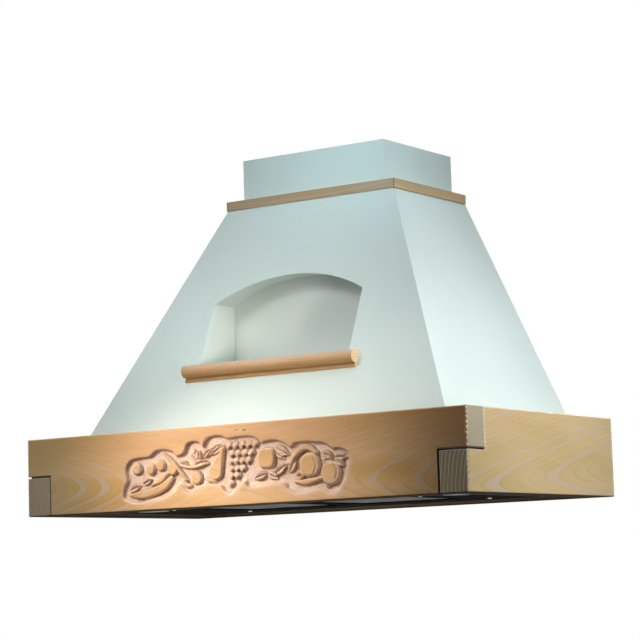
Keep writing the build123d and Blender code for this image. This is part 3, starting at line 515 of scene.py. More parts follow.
# lines of places with a half width: bananas, stalks, a pear, a gourd and arching stems
STRANDS = [
    [(-221, 27, 2.5), (-201, 26, 6.5), (-178, 29, 7.6), (-158, 34, 7.6), (-143, 41, 7.4), (-131, 51, 5.5)],
    [(-173, 42, 1.5), (-161, 46, 4.5), (-149, 51, 5.2), (-138, 58, 2.5)],
    [(-147, 93, 2), (-133, 83, 3.8), (-117, 67, 3.6), (-106, 55, 3.2), (-98, 46, 2.6)],
    [(-104, 45, 2.8), (-98, 38, 4.4), (-91, 36, 3.4)],
    [(-22, 93, 4.5), (-28, 78, 8), (-33, 66, 11), (-37, 57, 14)],
    [(-112, 73, 1.8), (-96, 68, 3), (-76, 68, 3.4), (-54, 73, 2)],
    [(-58, 47, 2.5), (-50, 44, 3.5), (-40, 42, 2.5)],
    [(123, 33, 3), (140, 31, 5), (158, 33, 5), (177, 37, 3)],
    [(117, 64, 3), (121, 72, 4.5), (130, 81, 5.5), (142, 87, 5.5), (154, 85, 5), (165, 77, 4.2)],
    [(132, 36, 2), (138, 42, 3.4), (133, 48, 3), (127, 44, 2.4)]]
# base and tip of each leaf, and its half width
LEAVES = [
    (-222, 34, -195, 44, 5.5), (-194, 44, -171, 53, 5), (-94, 71, -116, 77, 5.5), (-84, 70, -55, 79, 5),
    (-64, 82, -45, 99, 5.5), (-45, 87, -18, 102, 5.5), (-54, 84, -30, 105, 4.5), (-56, 48, -46, 40, 3.5),
    (-44, 43, -34, 38, 3.5), (82, 92, 113, 76, 8), (84, 82, 104, 71, 5), (66, 50, 38, 41, 7),
    (68, 49, 89, 39, 5.5), (80, 46, 108, 64, 7.5), (111, 48, 124, 70, 7.5), (129, 54, 137, 68, 4.5),
    (197, 68, 174, 78, 6), (196, 66, 175, 63, 5), (199, 69, 227, 68, 6), (202, 65, 221, 52, 5.5),
    (-72, 76, -90, 91, 6), (-72, 76, -73, 96, 6), (-74, 77, -83, 99, 5), (181, 27, 192, 20, 4)]
# thin grooves on three of the fruits, and two small nicks above the grapes
GROOVES = [
    [(160, 71, 1.4), (166, 58, 1.8), (160, 45, 1.4)],
    [(200, 56, 1.2), (205, 45, 1.6), (202, 33, 1.2)],
    [(63, 88, 1.2), (70, 89, 1.2)]]
NICKS = [[(6, 123, 1.0), (11, 123, 1.4)], [(23, 122.5, 1.0), (28, 122.5, 1.4)]]
VEIN_SPACING = 5.0


def quarter_round(distance, width):
    """0 at an edge, 1 from the given width inwards, and round between."""
    share = np.clip(distance / width, 0.0, 1.0)
    return np.sqrt(1.0 - (1.0 - share) ** 2)


def from_segment(x, z, ax, az, bx, bz):
    """The nearest place on the line from a to b: its share of the way along, and how far off it lies."""
    length = (bx - ax) ** 2 + (bz - az) ** 2
    t = np.clip(((x - ax) * (bx - ax) + (z - az) * (bz - az)) / length, 0, 1)
    return t, x - ax - (bx - ax) * t, z - az - (bz - az) * t


def inside_strand(x, z, points):
    """How far inside a thick line each place is; negative outside."""
    line = smooth_line(points, 5)
    inside = np.full(x.shape, -99.0)
    for (ax, az, ar), (bx, bz, br) in zip(line, line[1:]):
        t, dx, dz = from_segment(x, z, ax, az, bx, bz)
        inside = np.maximum(inside, ar + (br - ar) * t - np.hypot(dx, dz))
    return inside


def leaf_height(x, z, base_x, base_z, tip_x, tip_z, half_width):
    """A leaf with raised edges, a groove along its middle and slanting veins."""
    length = math.hypot(tip_x - base_x, tip_z - base_z)
    ux, uz = (tip_x - base_x) / length, (tip_z - base_z) / length
    along = ((x - base_x) * ux + (z - base_z) * uz) / length
    aside = np.abs((z - base_z) * ux - (x - base_x) * uz)
    inside = half_width * np.sin(np.pi * np.clip(along, 0.0, 1.0) ** 0.8) - aside
    vein = 0.16 * (0.5 + 0.5 * np.sin(2 * math.pi * (along * length - aside * 0.8) / VEIN_SPACING))
    top = 0.62 + 0.34 * np.clip(aside / half_width, 0, 1) - vein - 0.3 * np.exp(-((aside / 0.9) ** 2))
    return np.where(inside > 0, quarter_round(inside, 1.8) * top, 0.0)


def motif_height(x, z):
    """The fruit and leaves as a share of the carving's depth."""
    height, pits = np.zeros_like(x), np.zeros_like(x)
    for leaf in LEAVES:
        height = np.maximum(height, leaf_height(x, z, *leaf))
    for cx, cz, half_width, half_height, square, flank in FRUITS:
        reach = np.abs((x - cx) / half_width) ** square + np.abs((z - cz) / half_height) ** square
        height = np.maximum(height, quarter_round((1 - reach ** (1 / square)) * half_width, flank))
    for cx, cz in GRAPES:
        height = np.maximum(height, 0.86 * quarter_round(GRAPE - np.hypot(x - cx, z - cz), 0.6 * GRAPE))
        from_pit = np.hypot(x - cx - PIT_PLACE[0], z - cz - PIT_PLACE[1])
        pits = np.maximum(pits, quarter_round(PIT - from_pit, PIT))
    height = height - 0.8 * pits
    for points in STRANDS:
        widest = max(point[2] for point in points)
        rounded = quarter_round(inside_strand(x, z, points), min(3.5, widest))
        height = np.maximum(height, min(1.0, 0.72 + widest / 16) * rounded)
    for points in GROOVES:
        height = height - 0.22 * quarter_round(inside_strand(x, z, points), 1.5)
    return np.clip(height, 0.0, 1.0)


def from_outline(x, z, outline):
    """Whether each place is inside a closed outline, how far off its line is, and the direction from it."""
    inside = np.zeros(x.shape, bool)
    near = np.full(x.shape, 1e9)
    from_x, from_z = np.zeros_like(x), np.zeros_like(x)
    for (ax, az), (bx, bz) in zip(outline, np.roll(outline, -1, axis=0)):
        _, dx, dz = from_segment(x, z, ax, az, bx, bz)
        away = np.hypot(dx, dz)
        closer = away < near
        near, from_x, from_z = [np.where(closer, new, old)
                                for new, old in ((away, near), (dx, from_x), (dz, from_z))]
        crosses = (az > z) != (bz > z)
        inside ^= crosses & (x < ax + (bx - ax) * (z - az) / np.where(bz == az, 1e-9, bz - az))
    return inside, near, from_x / np.maximum(near, 0.01), from_z / np.maximum(near, 0.01)


def carve(x, z):
    """Depth below the beam's face, and how much chalky pigment lies there, for arrays of places.

    The ground is cut steeply along its upper edge, and is gouged out in a broad hollow along the lower one.
    """
    depth, pigment = np.zeros_like(x), np.zeros_like(x)
    around = (x > CARVED_X[0]) & (x < CARVED_X[1]) & (z > CARVED_Z[0]) & (z < CARVED_Z[1])
    px, pz = x[around], z[around]
    inside, away, from_x, from_z = from_outline(px, pz, smooth_line(GROUND_OUTLINE, 6, closed=True))
    low_side = np.clip(0.75 * from_z - 0.45 * from_x, 0.0, 1.0)
    share = np.where(inside, quarter_round(away, 4.5 + 6.5 * low_side), 0.0)
    ripple = 0.35 * np.sin(px * 0.9 + 2 * np.sin(pz * 0.25)) * np.sin(pz * 0.8 + 1.5 * np.sin(px * 0.2))
    ground = (CARVING_DEPTH + ripple) * share
    cut = ground - np.minimum(motif_height(px, pz) * CARVING_DEPTH, ground)
    worn = np.where(inside, 0.0, 0.7 * np.clip(1 - away / 3.5, 0, 1) ** 2)
    nicks = sum(1.6 * quarter_round(inside_strand(px, pz, points), 1.0) for points in NICKS)
    depth[around] = cut + worn + np.where(inside, 0.0, nicks)

    held = np.clip((cut - 0.25) / 1.3, 0, 1) * (0.78 + 0.22 * np.clip(cut / CARVING_DEPTH, 0, 1))
    bunch = np.min([np.hypot(px - cx, pz - cz) for cx, cz in GRAPES], axis=0)
    held = np.maximum(held, 0.8 * np.clip((GRAPE + 1 - bunch) / 1.5, 0, 1))
    # outside the outline the pale chalk runs wider beside the lower right edges: partly spilt chalk, partly
    # a painted highlight on those rims
    spilt_chalk_and_highlight = np.clip(1 - away / (3.0 + 7.0 * np.clip(0.7 * from_x - 0.7 * from_z, 0, 1)), 0, 1)
    pigment[around] = np.where(inside, held, 0.75 * spilt_chalk_and_highlight)
    return depth, pigment


def rounded_lines(start, end, radius, rounds, spacing):
    """Places from start to end that are close together where an edge is rounded over."""
    turn = radius * (1 - np.sin(np.linspace(0, math.pi / 2, rounds)))[::-1]
    between = np.arange(start + radius, end - radius, spacing)[1:]
    return np.concatenate([start + turn, between, (end - turn)[::-1]])


def rounded_inset(from_edge, radius):
    """How far a rounded edge falls back from the face, by the distance from the edge."""
    short = np.clip(radius - from_edge, 0, radius)
    return radius - np.sqrt(radius**2 - short**2)


def glaze_and_shade_in_creases(depth, pigment):
    """Where dark umber is painted, partly as glaze and partly as painted shade: the places of a 1 mm grid
    that lie deeper than the ones around them.
    """
    reach = 2
    around = np.pad(depth, reach, mode="edge")
    steps = range(2 * reach + 1)
    rows, columns = depth.shape
    mean = sum(around[i:i + rows, j:j + columns] for i in steps for j in steps) / len(steps) ** 2
    return np.clip((depth - mean - 0.25) / 1.3, 0.0, 1.0) * np.clip(pigment * 2, 0, 1)


# the front beam in millimetres: its notches' inner sides and top, and its rounded edges
LEFT_NOTCH, RIGHT_NOTCH, NOTCH_LINE = -397.4, 394.0, NOTCH_TOP / MM
CORNER_RADIUS, ARRIS_RADIUS = 6.0, 2.5
FINE_STEP, PLAIN_STEP = 1.0, 8.0    # the face's grid where it is carved, and beside that


def front_beam_mesh():
    """The front beam in one closed mesh: its face is a grid that is carved, its other sides are plain."""
    low, high = [Vector(corner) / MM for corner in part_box("front_beam")]
    half, height, back, face = high.x, high.z, high.y, low.y
    xs = rounded_lines(-half, half, CORNER_RADIUS, 6, PLAIN_STEP)
    xs = xs[(xs < CARVED_X[0]) | (xs > CARVED_X[1])]
    carved_xs = np.arange(CARVED_X[0], CARVED_X[1] + FINE_STEP / 2, FINE_STEP)
    xs = np.unique(np.round(np.concatenate([xs, carved_xs, [LEFT_NOTCH, RIGHT_NOTCH]]), 3))
    zs = rounded_lines(0.0, height, ARRIS_RADIUS, 5, FINE_STEP)
    zs = np.unique(np.round(np.concatenate([zs[np.abs(zs - NOTCH_LINE) > 0.4], [NOTCH_LINE]]), 3))
    x, z = np.meshgrid(xs, zs, indexing="ij")
    depth, pigment = carve(x, z)
    inset = np.maximum(rounded_inset(half - np.abs(x), CORNER_RADIUS),
                       rounded_inset(np.minimum(z, height - z), ARRIS_RADIUS))
    y = face + np.maximum(inset, depth)
    middle_x, middle_z = (xs[1:] + xs[:-1]) / 2, (zs[1:] + zs[:-1]) / 2
    beside = (middle_x < LEFT_NOTCH) | (middle_x > RIGHT_NOTCH)
    i, j = np.nonzero(~(beside[:, None] & (middle_z < NOTCH_LINE)[None, :]))
    number = np.arange(x.size).reshape(x.shape)
    faces = np.stack([number[i, j], number[i + 1, j], number[i + 1, j + 1], number[i, j + 1]], axis=1)
    mesh = bpy.data.meshes.new("carved front beam")
    mesh.from_pydata(np.stack([x, y, z], axis=-1).reshape(-1, 3) * MM, [], faces.tolist())
    for name, values in (("pigment", pigment), ("crease", glaze_and_shade_in_creases(depth, pigment))):
        layer = mesh.attributes.new(name, "FLOAT", "POINT")
        layer.data.foreach_set("value", values.reshape(-1).astype(np.float32))
    shape = bmesh.new()
    shape.from_mesh(mesh)
    bmesh.ops.delete(shape, geom=[v for v in shape.verts if not v.link_faces], context="VERTS")
    rim = [edge for edge in shape.edges if edge.is_boundary]
    made = bmesh.ops.extrude_edge_only(shape, edges=rim)["geom"]
    for vertex in (part for part in made if isinstance(part, bmesh.types.BMVert)):
        vertex.co.y = back * MM
    bmesh.ops.contextual_create(shape, geom=[part for part in made if isinstance(part, bmesh.types.BMEdge)])
    bmesh.ops.recalc_face_normals(shape, faces=shape.faces)
    shape.to_mesh(mesh)
    shape.free()
    smooth(mesh, 50.0)
    return mesh


def beam_painted_light_and_shade(r, surface):
    """Painted light and shade on the front beam: browner by its right end as painted shade, partly the
    wood's own tone, a painted pool of reddish light by its middle, lighter and yellower by its left end as
    painted light, and darker along its top as painted shade."""
    x, y, z = r.parts(r.place)
    off_middle = r.size(x)
    surface = r.mix(r.between(x, 0.24, 0.46, 0.0, 0.85), surface, rgb(136, 118, 92), "MULTIPLY")
    surface = r.mix(r.between(off_middle, 0.12, 0.34, 0.30, 0.0), surface, rgb(248, 190, 148))
    surface = r.mix(r.between(x, -0.42, -0.22, 0.3, 0.0), surface, rgb(232, 214, 156))
    return r.mix(r.between(z, 0.05, 0.115), surface, rgb(240, 232, 222), "MULTIPLY")


FRONT_TRUNK = {"heart": 0.037, "lean": -0.026, "pith": 0.044, "tilt": 0.045, "opening": 0.2, "ring": 0.0124,
               "band": 0.0022, "shift": 0.0011, "sway": 0.006, "widths": (1.7, 0.7), "fade": (0.05, 0.1)}
beam_wood = limed_wood("front_beam", "XZY", FRONT_TRUNK, [0.8, 0.25, 0.1, 0.2, 0.2, 1.0, 1.0, 0.8],
                       cut_end=rgb(184, 182, 154), lap=beside_lap(NOTCH_TOP, sides=LAP_SIDE),
                       carved=True, shade=beam_painted_light_and_shade)
carved_beam = add_object("carved_front_beam", front_beam_mesh(), beam_wood)
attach(carved_beam, "hood")
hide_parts("front_beam")


# ---- boards ----
def rail_painted_light_and_shade(r, surface):
    """Painted light and shade on the moulding: paler across the top of its round as painted light, in the
    pigment's colour, and a darker ochre on its underside as painted shade.
    """
    _, _, z = r.parts(r.place)
    low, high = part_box("shelf_rail")
    at = [low[2] + (high[2] - low[2]) * share for share in (0.40, 0.66, 0.68, 0.92)]
    surface = r.mix(r.times(r.between(z, at[1], at[3]), 0.3), surface, PIGMENT)
    return r.mix(r.times(r.between(z, at[2], at[0]), 0.5), surface, rgb(168, 134, 74))


SAND, STRAW = rgb(224, 195, 146), rgb(208, 182, 120)
SIDE_TRUNK = {"heart": -0.002, "lean": 0.085, "pith": 0.020, "opening": 0.14, "ring": 0.014, "band": 0.0036,
              "start": 0.355, "shift": 0.0084, "sway": 0.007}
side_lap = beside_lap(TONGUE_TOP, back=LAP_BACK)
# the right beam's cut ends are far darker than the left one's: end grain, and painted shade as well
dress(limed_wood("right_beam", ("Y", "Z", "-X"), {**SIDE_TRUNK, "end_pith": 0.16},
                 [1.0, 0.7, 0.1, 0.3, 0.1, 0.0, 1.0, 0.0], SAND, STRAW, rgb(98, 96, 74),
                 lap=side_lap, lines=0.16), "right_beam")
dress(limed_wood("left_beam", "YZX", {**SIDE_TRUNK, "heart": 0.075, "lean": -0.05},
                 [0.6, 0.2, 0.1, 0.9, 0.0, 0.3, 1.0, 0.2], SAND, STRAW, rgb(192, 176, 146),
                 lap=side_lap, lines=0.16), "left_beam")

TRIM_TRUNK = {"heart": 0.49, "pith": 0.05, "opening": 0.05, "ring": 0.006, "band": 0.0012}
for node, axes, tone in (("neck_trim_front", "XZY", rgb(194, 178, 154)),
                         ("neck_trim_left", "YZX", rgb(212, 176, 112)),
                         ("neck_trim_right", "YZX", rgb(212, 176, 112))):
    dress(limed_wood(node, axes, TRIM_TRUNK, [0.5, 0.1, 0.3], tone, rgb(188, 160, 124),
                     arris=SEAM_AND_SHADE, arris_width=0.0005, teeth=0.0), node)
RAIL_TRUNK = {"heart": 0.20, "pith": 0.03, "opening": 0.04, "ring": 0.006, "band": 0.0012}
dress(limed_wood("shelf_rail", "XZY", RAIL_TRUNK, [0.4, 0.0, 0.25], rgb(212, 174, 134),
                 rgb(194, 152, 106), rgb(228, 196, 158), arris=SEAM_AND_SHADE, arris_width=0.0004,
                 teeth=0.0, shade=rail_painted_light_and_shade), "shelf_rail")

PAINTED = ("body_front_panel", "body_left_panel", "body_right_panel", "chimney_front", "chimney_left",
           "chimney_right")
NICHE = ("niche_floor", "niche_left_cheek", "niche_right_cheek", "niche_vault", "niche_back")
dress(lacquer("pale lacquer", rgb(218, 235, 233), rgb(213, 231, 229)), *PAINTED)
# the niche's lacquer is warmer than the body's: painted warm light, as bounced off the wooden shelf
dress(lacquer("niche lacquer", rgb(222, 230, 225), rgb(217, 226, 221)), *NICHE)

PLAIN = (("rear_rail", "XZY"), ("lap_dowels", "ZXY"), ("ledger_front", "XZY"), ("ledger_left", "YZX"),
         ("ledger_right", "YZX"), ("deck_front", "XYZ"), ("deck_left", "YXZ"), ("deck_right", "YXZ"),
         ("corner_batten_left", "ZXY"), ("corner_batten_right", "ZXY"), ("neck_plate", "XYZ"),
         ("hanging_rail", "XZY"))
for i, (node, axes) in enumerate(PLAIN):
    low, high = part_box(node)
    across = "XYZ".index(axes[1])
    trunk = {"heart": low[across] + (high[across] - low[across]) * (0.3 + 0.11 * (i % 5)), "sway": 0.006,
             "pith": 0.012 + 0.006 * (i % 4), "ring": 0.0042 + 0.0006 * (i % 3), "opening": 0.06}
    dress(plain_wood(node, axes, trunk), node)

# ---- extractor's finishes ----
black_steel = coated("black coated steel", rgb(6, 6, 6), 0.92, 800.0, 0.00005, shine=0.02)
black_plastic = coated("black plastic", rgb(22, 22, 23), 0.52, 1400.0, 0.00008, shine=0.35)
grey_plastic = coated("grey plastic", rgb(92, 94, 96), 0.46, 1200.0, 0.00006)
dress(black_steel, "insert_pan", "filter_left_frame", "filter_right_frame")
dress(black_plastic, "control_box", "terminal_box", "filter_left_latch", "filter_right_latch")
dress(grey_plastic, "fan_wheel", "damper_flap_left", "damper_flap_right")
dress(coated("motor paint", rgb(48, 52, 56), 0.38, 500.0, 0.00005), "motor")
dress(galvanised(), "plenum_case", "fan_casing", "outlet_collar", "motor_bracket", "lamp_housing_left",
      "lamp_housing_right")
zinc_plate = zinc()
dress(zinc_plate, "hanger_plates", "damper_spindle")


# ---- pieces that Geometry Nodes make ----
def new_tree(name, labels, **kinds):
    """A tree with labelled inputs, floats unless a kind is given, and one output: its recipe and these."""
    tree = bpy.data.node_groups.new(name, "GeometryNodeTree")
    kinds["Geometry"] = "Geometry"
    labels = ["Geometry", *labels.split(", ")]
    for label in labels:
        kind = "NodeSocket" + kinds.get(label, "Float")
        tree.interface.new_socket(label, in_out="INPUT", socket_type=kind)
    tree.interface.new_socket("Geometry", in_out="OUTPUT", socket_type="NodeSocketGeometry")
    inputs = tree.nodes.new("NodeGroupInput").outputs[:len(labels)]
    return Recipe(tree), inputs, tree.nodes.new("NodeGroupOutput").inputs[0]


def grown(name, tree, mesh, sharp=35.0, **sizes):
    """The plain mesh that a tree makes from a start mesh and its sizes, as a piece at the origin."""
    piece = add_object(name, mesh)
    modifier = piece.modifiers.new("shape", "NODES")
    modifier.node_group = tree
    for item in tree.interface.items_tree:
        label = item.name.replace(" ", "_")
        if item.in_out == "INPUT" and label in sizes:
            modifier[item.identifier] = sizes[label]
    evaluated = piece.evaluated_get(bpy.context.evaluated_depsgraph_get())
    piece.data = bpy.data.meshes.new_from_object(evaluated)
    piece.modifiers.clear()
    smooth(piece.data, sharp)
    return piece


def filter_tree():
    """Layers of expanded metal: rows of zig-zag strands whose points meet, which makes lozenges."""
    labels = ("Width, Depth, Pitch, Row, Strand Width, Strand Thickness, Layers, Layer Gap, Place, Seed, "
              "Finish")
    r, inputs, result = new_tree("expanded metal", labels, Layers="Int", Place="Vector", Seed="Int",
                                 Finish="Material")
    _, width, depth, pitch, row, strand_width, thickness, layers, gap, place, seed, metal = inputs
    half_pitch, quarter = r.times(pitch, 0.5), r.times(pitch, 0.25)
    odd = r.math("MODULO", r.geo("InputIndex"), 2.0)

    def line(count, start, step):
        return r.geo("MeshLine", Count=count, Start_Location=start, Offset=step)

    def moved(geometry, offset):
        return r.geo("SetPosition", Geometry=geometry, Offset=offset)

    zigzag = line(r.whole(r.over(width, half_pitch)), r.vector(r.times(width, -0.5)), r.vector(half_pitch))
    zigzag = moved(zigzag, r.vector(0.0, r.times(r.minus(odd, 0.5), row)))
    profile = r.geo("CurvePrimitiveQuadrilateral", Width=strand_width, Height=thickness)
    strand = r.geo("CurveToMesh", Curve=r.geo("MeshToCurve", zigzag),
                   Profile_Curve=profile, Fill_Caps=True)
    rows = line(r.whole(r.over(depth, row)),
                r.vector(0.0, r.times(r.minus(depth, row), -0.5)), r.vector(0.0, row))
    rows = moved(rows, r.vector(r.times(odd, half_pitch)))
    layer = r.geo("InstanceOnPoints", Points=rows, Instance=strand)
    random = r.add("FunctionNodeRandomValue", data_type="FLOAT_VECTOR", Max=(1.0, 1.0, 0.0), Seed=seed)
    slip = r.vectors("MULTIPLY", random, r.vector(quarter, quarter))
    levels = moved(line(layers, None, r.vector(0.0, 0.0, gap)), slip)
    stack = r.geo("InstanceOnPoints", Points=levels, Instance=layer)
    stack = moved(r.geo("RealizeInstances", stack), place)
    r.feed(result, r.geo("SetMaterial", Geometry=stack, Material=metal))
    return r.tree


SLOT_LENGTH, SLOT_WIDTH = 1.1, 0.24     # of a screw head's radius


def screw_tree(name, countersunk):
    """Screws on the start mesh's points, each with its point along the attribute way, cross-recessed."""
    labels = "Head Radius, Head Height, Shank Radius, Length, Recess, Finish"
    r, inputs, result = new_tree(name, labels, Finish="Material")
    points, head_radius, head_height, shank_radius, length, recess, metal = inputs

    def transformed(geometry, **change):
        return r.geo("Transform", Geometry=geometry, **change)

    if countersunk:
        head = r.geo("MeshCone", Vertices=32, Radius_Top=shank_radius,
                     Radius_Bottom=head_radius, Depth=head_height)
        top = 0.0
    else:
        ball = r.geo("MeshUVSphere", Segments=32, Rings=14, Radius=head_radius)
        head = transformed(ball, Scale=r.vector(1.0, 1.0, r.over(head_height, head_radius)))
        top = r.times(head_height, -1.0)
    cut = r.geo("MeshBoolean", operation="DIFFERENCE", Mesh_1=head).node
    long_side, short_side = r.times(head_radius, SLOT_LENGTH), r.times(head_radius, SLOT_WIDTH)
    for sides in ((long_side, short_side), (short_side, long_side)):
        slot = r.geo("MeshCube", Size=r.vector(*sides, r.times(recess, 2.0)))
        r.feed(cut.inputs["Mesh 2"], transformed(slot, Translation=r.vector(0.0, 0.0, top)))
    shank = r.geo("MeshCylinder", Vertices=20, Radius=shank_radius, Depth=length)
    shank = transformed(shank, Translation=r.vector(0.0, 0.0, r.times(length, 0.5)))
    both = r.geo("JoinGeometry").node
    for part in (cut.outputs[0], shank):
        r.feed(both.inputs[0], part)
    way = r.geo("InputNamedAttribute", data_type="FLOAT_VECTOR", Name="way")
    turn = r.add("FunctionNodeAlignRotationToVector", axis="Z", Vector=way)
    screws = r.geo("InstanceOnPoints", Points=points, Instance=both.outputs[0], Rotation=turn)
    screws = r.geo("RealizeInstances", screws)
    r.feed(result, r.geo("SetMaterial", Geometry=screws, Material=metal))
    return r.tree


def screw_points(spots):
    """A start mesh with a vertex for each screw; spots are places in millimetres and the way it points."""
    mesh = bpy.data.meshes.new("screw places")
    mesh.from_pydata([Vector(place) * MM for place, way in spots], [], [])
    layer = mesh.attributes.new("way", "FLOAT_VECTOR", "POINT")
    layer.data.foreach_set("vector", [part for place, way in spots for part in way])
    return mesh


# The pan's screws go outwards through its upturned edges and upwards into the plenum case's flanges.
PAN_SIDE, PAN_FRONT, PAN_BACK, EDGE_SCREW_HEIGHT = 394.5, -434.5, -23.5, 20.3
CASE_SIDE, CASE_FRONT, PAN_BOTTOM = 256, -398, 6.0
PAN_SCREWS = []
for side in (-1, 1):
    PAN_SCREWS += [((side * PAN_SIDE, y, EDGE_SCREW_HEIGHT), (side, 0, 0)) for y in (-350, -90)]
    PAN_SCREWS += [((side * 300, PAN_FRONT, EDGE_SCREW_HEIGHT), (0, -1, 0)),
                   ((side * 300, PAN_BACK, EDGE_SCREW_HEIGHT), (0, 1, 0))]
    PAN_SCREWS += [((side * CASE_SIDE, y, PAN_BOTTOM), (0, 0, 1)) for y in (-320, -90)]
    PAN_SCREWS.append(((side * 180, CASE_FRONT, PAN_BOTTOM), (0, 0, 1)))
HANGER_SCREWS = [((x, 0, z), (0, -1, 0)) for x in (-120, 120) for z in (465, 505)]
for name, node, spots, countersunk, head_height, length, recess in (
        ("pan_head_screws", "pan_screws", PAN_SCREWS, False, 0.0018, 0.009, 0.0011),
        ("countersunk_screws", "hanger_screws", HANGER_SCREWS, True, 0.002, 0.02, 0.0014)):
    screws = grown(name, screw_tree(name.replace("_", " "), countersunk), screw_points(spots),
                   Head_Radius=0.004, Head_Height=head_height, Shank_Radius=0.002, Length=length,
                   Recess=recess, Finish=zinc_plate)
    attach(screws, "hood")
    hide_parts(node)

# The layers slip by up to 4 mm, a quarter of their pitch, to the right and to the back, so the stack
# starts about half of that to the left and the front.
MESH_MARGIN, SLIP_BACK, FIRST_LAYER = 0.007, 0.0018, 0.0012
strands = filter_metal()
expanded = filter_tree()
for side, seed in (("left", 3), ("right", 8)):
    low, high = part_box(f"filter_{side}_mesh")
    middle = ((low[0] + high[0]) / 2 - SLIP_BACK, (low[1] + high[1]) / 2 - SLIP_BACK, low[2] + FIRST_LAYER)
    layers = grown(f"filter_{side}_strands", expanded, bpy.data.meshes.new("none"), sharp=30.0,
                   Width=high[0] - low[0] - MESH_MARGIN, Depth=high[1] - low[1] - MESH_MARGIN, Pitch=0.016,
                   Row=0.0056, Strand_Width=0.0015, Strand_Thickness=0.0006, Layers=3, Layer_Gap=0.0022,
                   Place=middle, Seed=seed, Finish=strands)
    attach(layers, f"filter_{side}")
    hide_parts(f"filter_{side}_mesh")

# ---- turned pieces ----
# profiles of radii and heights in millimetres
BUTTON = [(0, 2.7), (2.2, 2.62), (3.6, 2.3), (4.3, 2.04), (4.8, 2.0), (5.2, 2.25), (5.3, 2.6), (5.3, 14),
          (0, 14)]
RIPPLES = [(radius, 5.62 + 0.28 * math.cos(radius * math.pi / 2.0)) for radius in np.arange(0.5, 28.4, 0.5)]
LENS = [(0, 5.9)] + RIPPLES + [(29.0, 5.5), (29.7, 5.7), (30.0, 6.2), (30.0, 9.0), (0, 9.0)]
button_plastic = coated("button plastic", rgb(150, 150, 148), 0.4, 1600.0, 0.00004)
for name in ("light", "off", "speed_1", "speed_2", "speed_3"):
    button = turned(f"dished_{name}_button", BUTTON, f"button_{name}", button_plastic)
    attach(button, f"{name}_button")
    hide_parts(f"button_{name}")
glass = frosted_glass()
for side in ("left", "right"):
    lens = turned(f"rippled_{side}_lens", LENS, f"lamp_lens_{side}", glass, 72)
    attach(lens, "hood")
    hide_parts(f"lamp_lens_{side}")

# ---- stage ----
FLOOR_HEIGHT, FLOOR_REACH, FLOOR_GLOW = -0.85, 18.0, 0.78
# place, target, size, power, tint and spread in degrees
LIGHTS = {
    "overhead": ((-0.3, -1.3, 2.8), (0.0, -0.25, 0.3), (2.0, 1.6), 4.2, (0.97, 1.0, 1.0), 180.0),
    "panel light": ((-0.25, -1.3, 1.0), (-0.05, -0.35, 0.16), (0.5, 0.3), 0.76, (1.0, 0.98, 0.95), 60.0),
    "side light": ((1.3, -0.3, 0.9), (0.35, -0.25, 0.1), (0.6, 0.5), 1.86, (1.0, 0.99, 0.98), 60.0),
    "beam light": ((-0.58, -1.15, 0.42), (-0.03, -0.49, 0.03), (0.2, 0.16), 0.35, (1.0, 0.9, 0.77), 34.0),
    "niche light": ((1.15, -1.0, 0.1), (-0.15, -0.3, 0.32), (0.3, 0.2), 0.09, (1.0, 0.94, 0.84), 12.0),
    "left side": ((-2.2, -0.1, 0.6), (-0.3, -0.25, 0.2), (1.2, 1.0), 14.0, (0.98, 1.0, 1.0), 180.0),
    "back": ((-1.1, 2.2, 0.9), (0.0, 0.0, 0.25), (1.6, 1.2), 18.0, (1.0, 0.99, 0.97), 180.0),
    "under light": ((0.0, -0.27, -0.75), (0.0, -0.24, 0.0), (0.4, 0.16), 0.22, (1.0, 1.0, 1.0), 44.0),
    "chimney light": ((0.9, -1.2, 0.8), (0.0, -0.12, 0.64), (0.3, 0.3), 0.20, (0.72, 0.95, 1.0), 20.0),
}


def seen_directly(r):
    """1 for what the camera, a reflection or a clear piece looks at, 0 for light that bounces."""
    path = r.add("ShaderNodeLightPath").node.outputs
    seen = r.most(path["Is Camera Ray"], path["Is Glossy Ray"])
    return r.most(seen, path["Is Transmission Ray"])


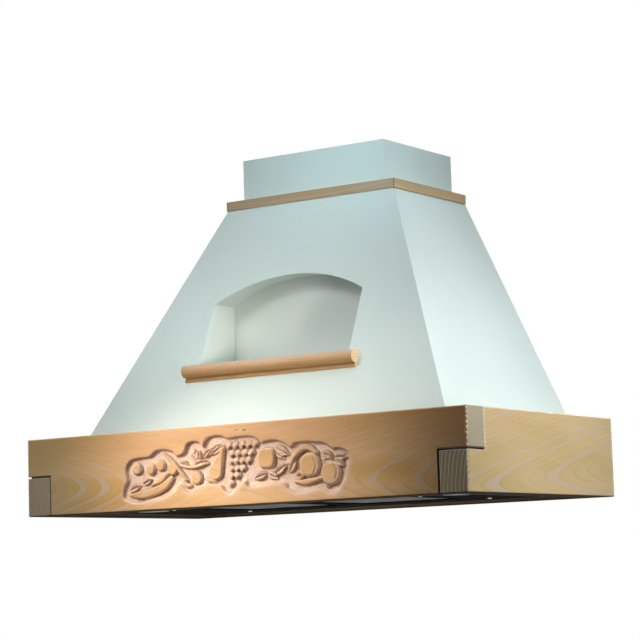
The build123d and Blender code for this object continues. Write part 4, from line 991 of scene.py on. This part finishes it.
def make_floor():
    """A plain pale floor; from below it is clear, so the underside can be looked at."""
    r = Finish("floor")
    looked_at = seen_directly(r)
    speck = r.noise(r.place, 3.0)
    below = r.add("ShaderNodeNewGeometry").node.outputs["Backfacing"]
    material = r.done(Base_Color=r.mix(looked_at, rgb(36, 35, 34), rgb(150, 150, 150)), Roughness=0.9,
                      Emission_Color=r.mix(speck, rgb(226, 227, 228), rgb(231, 232, 233)),
                      Emission_Strength=r.times(looked_at, FLOOR_GLOW), Alpha=r.minus(1.0, below))
    corners = [(x * FLOOR_REACH, y * FLOOR_REACH) for x, y in ((-1, -1), (1, -1), (1, 1), (-1, 1))]
    floor = add_mesh("floor", [(x, y, FLOOR_HEIGHT) for x, y in corners], [(0, 1, 2, 3)], material)


def make_world():
    world = bpy.data.worlds.new("studio")
    world.use_nodes = True
    bpy.context.scene.world = world
    r = Recipe(world.node_tree)
    shade = world.node_tree.nodes["Background"]
    r.feed(shade.inputs["Color"], r.mix(seen_directly(r), (0.232, 0.247, 0.256, 1.0), (1.0, 1.0, 1.0, 1.0)))


def add_light(name, place, target, size, power, tint, spread):
    light = bpy.data.lights.new(name, "AREA")
    light.shape, light.size, light.size_y = "RECTANGLE", *size
    light.energy, light.color, light.spread = power, tint, math.radians(spread)
    lamp = add_object(name, light)
    lamp.location = place
    lamp.rotation_euler = (Vector(target) - Vector(place)).to_track_quat("-Z", "Y").to_euler()


def add_camera():
    """The photograph's view: low, from the right, with a long lens and a slight roll."""
    camera = bpy.data.cameras.new("camera")
    camera.sensor_fit, camera.sensor_width, camera.lens = "HORIZONTAL", 36.0, 127.0
    yaw, pitch, roll = math.radians(33.97), math.radians(6.72), math.radians(-1.80)
    eye = add_object("camera", camera)
    eye.location = (2.20976, -3.49834, -0.13647)
    ahead = Vector((-math.sin(yaw) * math.cos(pitch), math.cos(yaw) * math.cos(pitch), math.sin(pitch)))
    eye.rotation_mode = "QUATERNION"
    eye.rotation_quaternion = ahead.to_track_quat("-Z", "Y") @ Quaternion((0, 0, 1), roll)
    bpy.context.scene.camera = eye


make_floor()
make_world()
for name, light in LIGHTS.items():
    add_light(name, *light)
add_camera()
bpy.context.scene.view_settings.view_transform = "Standard"
